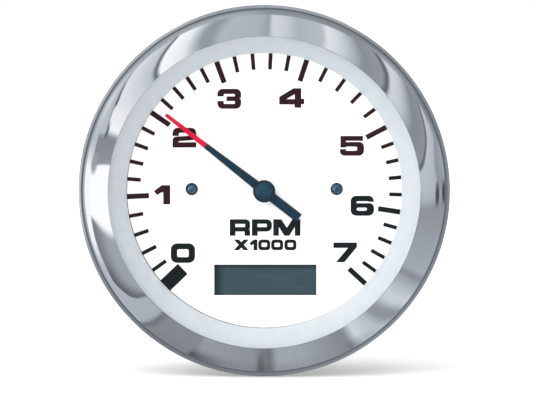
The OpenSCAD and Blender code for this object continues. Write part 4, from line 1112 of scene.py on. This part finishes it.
# %% Arch, wedge, strip and rim
ARCH = [(186, 0.57), (204, 0.575), (211, 0.6), (215, 0.5), (218, 0.4), (220, 0.25), (221.5, 0.0)]  # its line
WEDGE = [(131, 0.7), (141, 0.59), (148, 0.44), (158, 0.3)]  # its line
UNDER_WEDGE = [  # how dark the wedge's edge is
    (134, 0.0), (141, 0.45), (145, 0.8), (149, 1.0), (151, 0.0), (155, 0.0), (157, 0.8), (160, 0.9), (161.5, 0.0),
]
STRIP_FROM = [(20, 0.66), (60, 0.62), (90, 0.6), (135, 0.64), (150, 0.58), (162, 0.52), (170, 0.5), (206, 0.6)]
STRIP = [  # its greys
    (20, 150), (30, 140), (46, 160), (56, 142), (88, 146), (96, 171), (132, 168), (141, 192), (150, 212),
    (158, 194), (163, 190), (168, 214), (172, 248), (196, 246), (201, 214), (206, 180),
]
RIM = [(20, 118), (28, 104), (45, 130), (70, 118), (92, 138), (150, 145), (200, 150), (206, 165)]  # its greys


def laid_over(boards, shape, *shares):
    """Lays a shape over what stands behind it, as far as the product of its shares."""
    share = functools.reduce(lambda first, second: sky("Math", "MULTIPLY", first, second), shares)
    return sky("Mix", COLOUR, share, boards, shape)


past_arch = sky("Math", "SUBTRACT", reach, round_ramp(round_dial, ARCH))
darker = sky("MapRange", SOFT, past_arch, -0.45, -0.02)
darker = sky("Math", "MULTIPLY", darker, sky("MapRange", SOFT, round_dial, 202, 211, 0.6, 0.9))
under_arch = sky("Mix", COLOUR, darker, light_of(163), light_of(90))
boards = laid_over(
    boards, under_arch, sky("MapRange", SOFT, past_arch, -0.02, 0.02, 1, 0),
    sky("MapRange", SOFT, straight, 193.5, 198.5), sky("MapRange", SOFT, round_dial, 186, 189),
)
past_wedge = sky("Math", "SUBTRACT", reach, round_ramp(round_dial, WEDGE))
wedge = sky("Mix", COLOUR, sky("MapRange", SOFT, past_wedge, 0.02, 0.1), light_of(158), light_of(190))
boards = laid_over(
    boards, wedge, sky("MapRange", SOFT, past_wedge, 0.0, 0.03),
    sky("MapRange", SOFT, round_dial, 128, 134), sky("MapRange", SOFT, round_dial, 158, 162, 1, 0),
)
at_edge = sky("MapRange", SOFT, sky("Math", "ABSOLUTE", past_wedge), 0.005, 0.055, 1, 0)
boards = laid_over(boards, light_of(50), at_edge, round_ramp(round_dial, UNDER_WEDGE))
upper = sky("MapRange", SOFT, round_dial, 14, 20), sky("MapRange", SOFT, round_dial, 203, 208, 1, 0)
past_strip = sky("Math", "SUBTRACT", reach, round_ramp(round_dial, STRIP_FROM))
strip = round_ramp(round_dial, STRIP, light_of)
boards = laid_over(boards, strip, sky("MapRange", SOFT, past_strip, -0.02, 0.05), *upper)
rim = round_ramp(round_dial, RIM, light_of)
boards = laid_over(boards, rim, sky("MapRange", SOFT, reach, 0.74, 0.83), *upper)

# %% [markdown]
# A few soft dark spots are what else stands about in a studio, and round the lower half the boards are
# shaded towards the back. Each spot is an ellipse: the squares of the two distances from its middle, each over
# its half width, add up to 1 at its edge.

# %% Spots and shade
SPOTS = [  # degrees and reach of the middle, the half widths in both, and the grey
    (359.2, 0.49, 5.5, 0.1, 78), (359.8, 0.8, 5.0, 0.17, 72), (170.5, 0.45, 4.6, 0.15, 160),
    (268.9, 0.75, 1.6, 0.75, 104),
]
SHADE = [  # how strong the shade is
    (228, 0.0), (240, 0.12), (245.8, 0.12), (247.2, 0.85), (251, 0.6), (258, 0.27), (264, 0.15), (268, 0.2),
    (276, 0.25), (284, 0.16), (294, 0.03), (297, 0.05), (300, 0.35), (304, 0.3), (308, 0.05), (330, 0.0),
]
for degrees, at_reach, half_deg, half_reach, grey in SPOTS:
    aside = sky("Math", "FLOORED_MODULO", sky("Math", "SUBTRACT", round_dial, degrees - 180), 360.0)
    aside = sky("Math", "DIVIDE", sky("Math", "SUBTRACT", aside, 180.0), half_deg)
    out = sky("Math", "DIVIDE", sky("Math", "SUBTRACT", reach, at_reach), half_reach)
    apart = sky("Math", "MULTIPLY_ADD", aside, aside, sky("Math", "MULTIPLY", out, out))
    boards = laid_over(boards, light_of(grey), sky("MapRange", SOFT, apart, 0.05, 1.0, 1, 0))
to_back = sky("MapRange", SOFT, reach, 0.3, 0.75)
boards = laid_over(boards, light_of(60), round_ramp(straight, SHADE), to_back)

# %% [markdown]
# In front stands the camera, and round it the room is brightest at the upper left. Only the bead's crown and the
# domed screws mirror it. Behind the gauge, which only shows in views from behind, the light falls from above.
# Dark boards are a little blue, and white ones neutral.

# %% In front, behind, and the tint
FRONT = [  # the light round the camera
    (0, 0.25), (45, 0.27), (75, 0.4), (95, 0.55), (140, 0.6), (170, 0.4), (200, 0.33), (240, 0.2), (275, 0.24),
    (300, 0.36), (330, 0.28), (360, 0.25),
]
STEEL_SHARE = 0.76  # the steel gives back this much of the light
front = sky("Mix", COLOUR, sky("MapRange", SOFT, from_front, 10, 16), 0.3, round_ramp(round_dial, FRONT))
boards = sky("Mix", COLOUR, sky("MapRange", SOFT, from_front, 24, 40), front, boards)
behind = sky("Mix", COLOUR, sky("MapRange", SOFT, way[2], -0.3, 0.35), light_of(150), light_of(250))
boards = laid_over(boards, behind, sky("MapRange", SOFT, from_front, 156, 168))
whiteness = sky("MapRange", SOFT, sky("RGBToBW", None, boards), 0.45, 0.9)
tint = sky("Mix", COLOUR, whiteness, (0.945, 1.0, 1.07, 1), 1.0)
mirrored = sky("VectorMath", "SCALE", sky("VectorMath", "MULTIPLY", boards, tint), 1 / STEEL_SHARE)
path = sky("LightPath").outputs
seen = sky("Mix", COLOUR, path["Is Diffuse Ray"], mirrored, 1.12)
seen = sky("Mix", COLOUR, path["Is Camera Ray"], seen, 1.0)
sky("OutputWorld", None, sky("Background", None, seen, 1.0))
print(len(world.node_tree.nodes), "nodes light the studio")

# %% [markdown]
# A large sheet of white paper is the floor. A broad key light from the upper left gives the soft shadows of
# the pointer and the trim ring on the dial.

# %% Floor and key light
FLOOR_HALF = 4.0  # metres from the middle to each side
floor_z = cad_box[0][2] - 0.0001
floor_mesh = bpy.data.meshes.new("floor")
floor_corners = [(x, y, floor_z) for x, y, _ in box(-FLOOR_HALF, -FLOOR_HALF, FLOOR_HALF, FLOOR_HALF)]
floor_mesh.from_pydata(floor_corners, [], [(0, 1, 2, 3)])
floor_mesh.materials.append(surface("white_paper", "#f4f4f4", 0.9, Emission_Color=1.0, Emission_Strength=0.25)[0])
floor = bpy.data.objects.new("floor", floor_mesh)
bpy.context.scene.collection.objects.link(floor)
floor.visible_glossy = False

key = bpy.data.lights.new("key", "SUN")
key.angle = math.radians(50)
key.energy = 1.75
key.color = (1.0, 1.0, 0.97)
lamp = bpy.data.objects.new("key", key)
lamp.visible_glossy = False
lamp.rotation_euler = mathutils.Vector((-0.8, -1.25, 1.05)).to_track_quat("Z", "Y").to_euler()
bpy.context.scene.collection.objects.link(lamp)

# %% [markdown]
# The camera stands far away with a long lens, so the dial is seen almost without perspective. A millimetre on
# the gauge is a set number of pixels, which gives the distance, and a shift of the lens brings the dial's
# middle to its place in the picture.

# %% Camera
LENS, SENSOR, PICTURE_W, PICTURE_H = 400.0, 36.0, 533, 400
MM_PER_PIXEL = 0.2743
MIDDLE = (264.2, 191.1)  # the dial's middle in pixels from the picture's upper left corner
away = PICTURE_W * MM_PER_PIXEL * MM / (SENSOR / LENS)
tilt = math.radians(CAMERA_DEG)
optics = bpy.data.cameras.new("camera")
optics.lens, optics.sensor_width, optics.clip_start, optics.clip_end = LENS, SENSOR, 0.05, 20
optics.shift_x = (PICTURE_W / 2 - MIDDLE[0]) / PICTURE_W
optics.shift_y = -(PICTURE_H / 2 - MIDDLE[1]) / PICTURE_W
camera = bpy.data.objects.new("camera", optics)
camera.location = (0, -away * math.cos(tilt) - 0.003, away * math.sin(tilt))
camera.rotation_euler = (math.pi / 2 - tilt, 0, 0)
bpy.context.scene.collection.objects.link(camera)
bpy.context.scene.camera = camera
bpy.context.scene.view_settings.view_transform = "Standard"
print("camera", round(away, 3), "m away")

# %% [markdown]
# ## The size of the solids
# The box of the solids is printed.

# %% Finish
print("solids", [list(c) for c in cad_box])
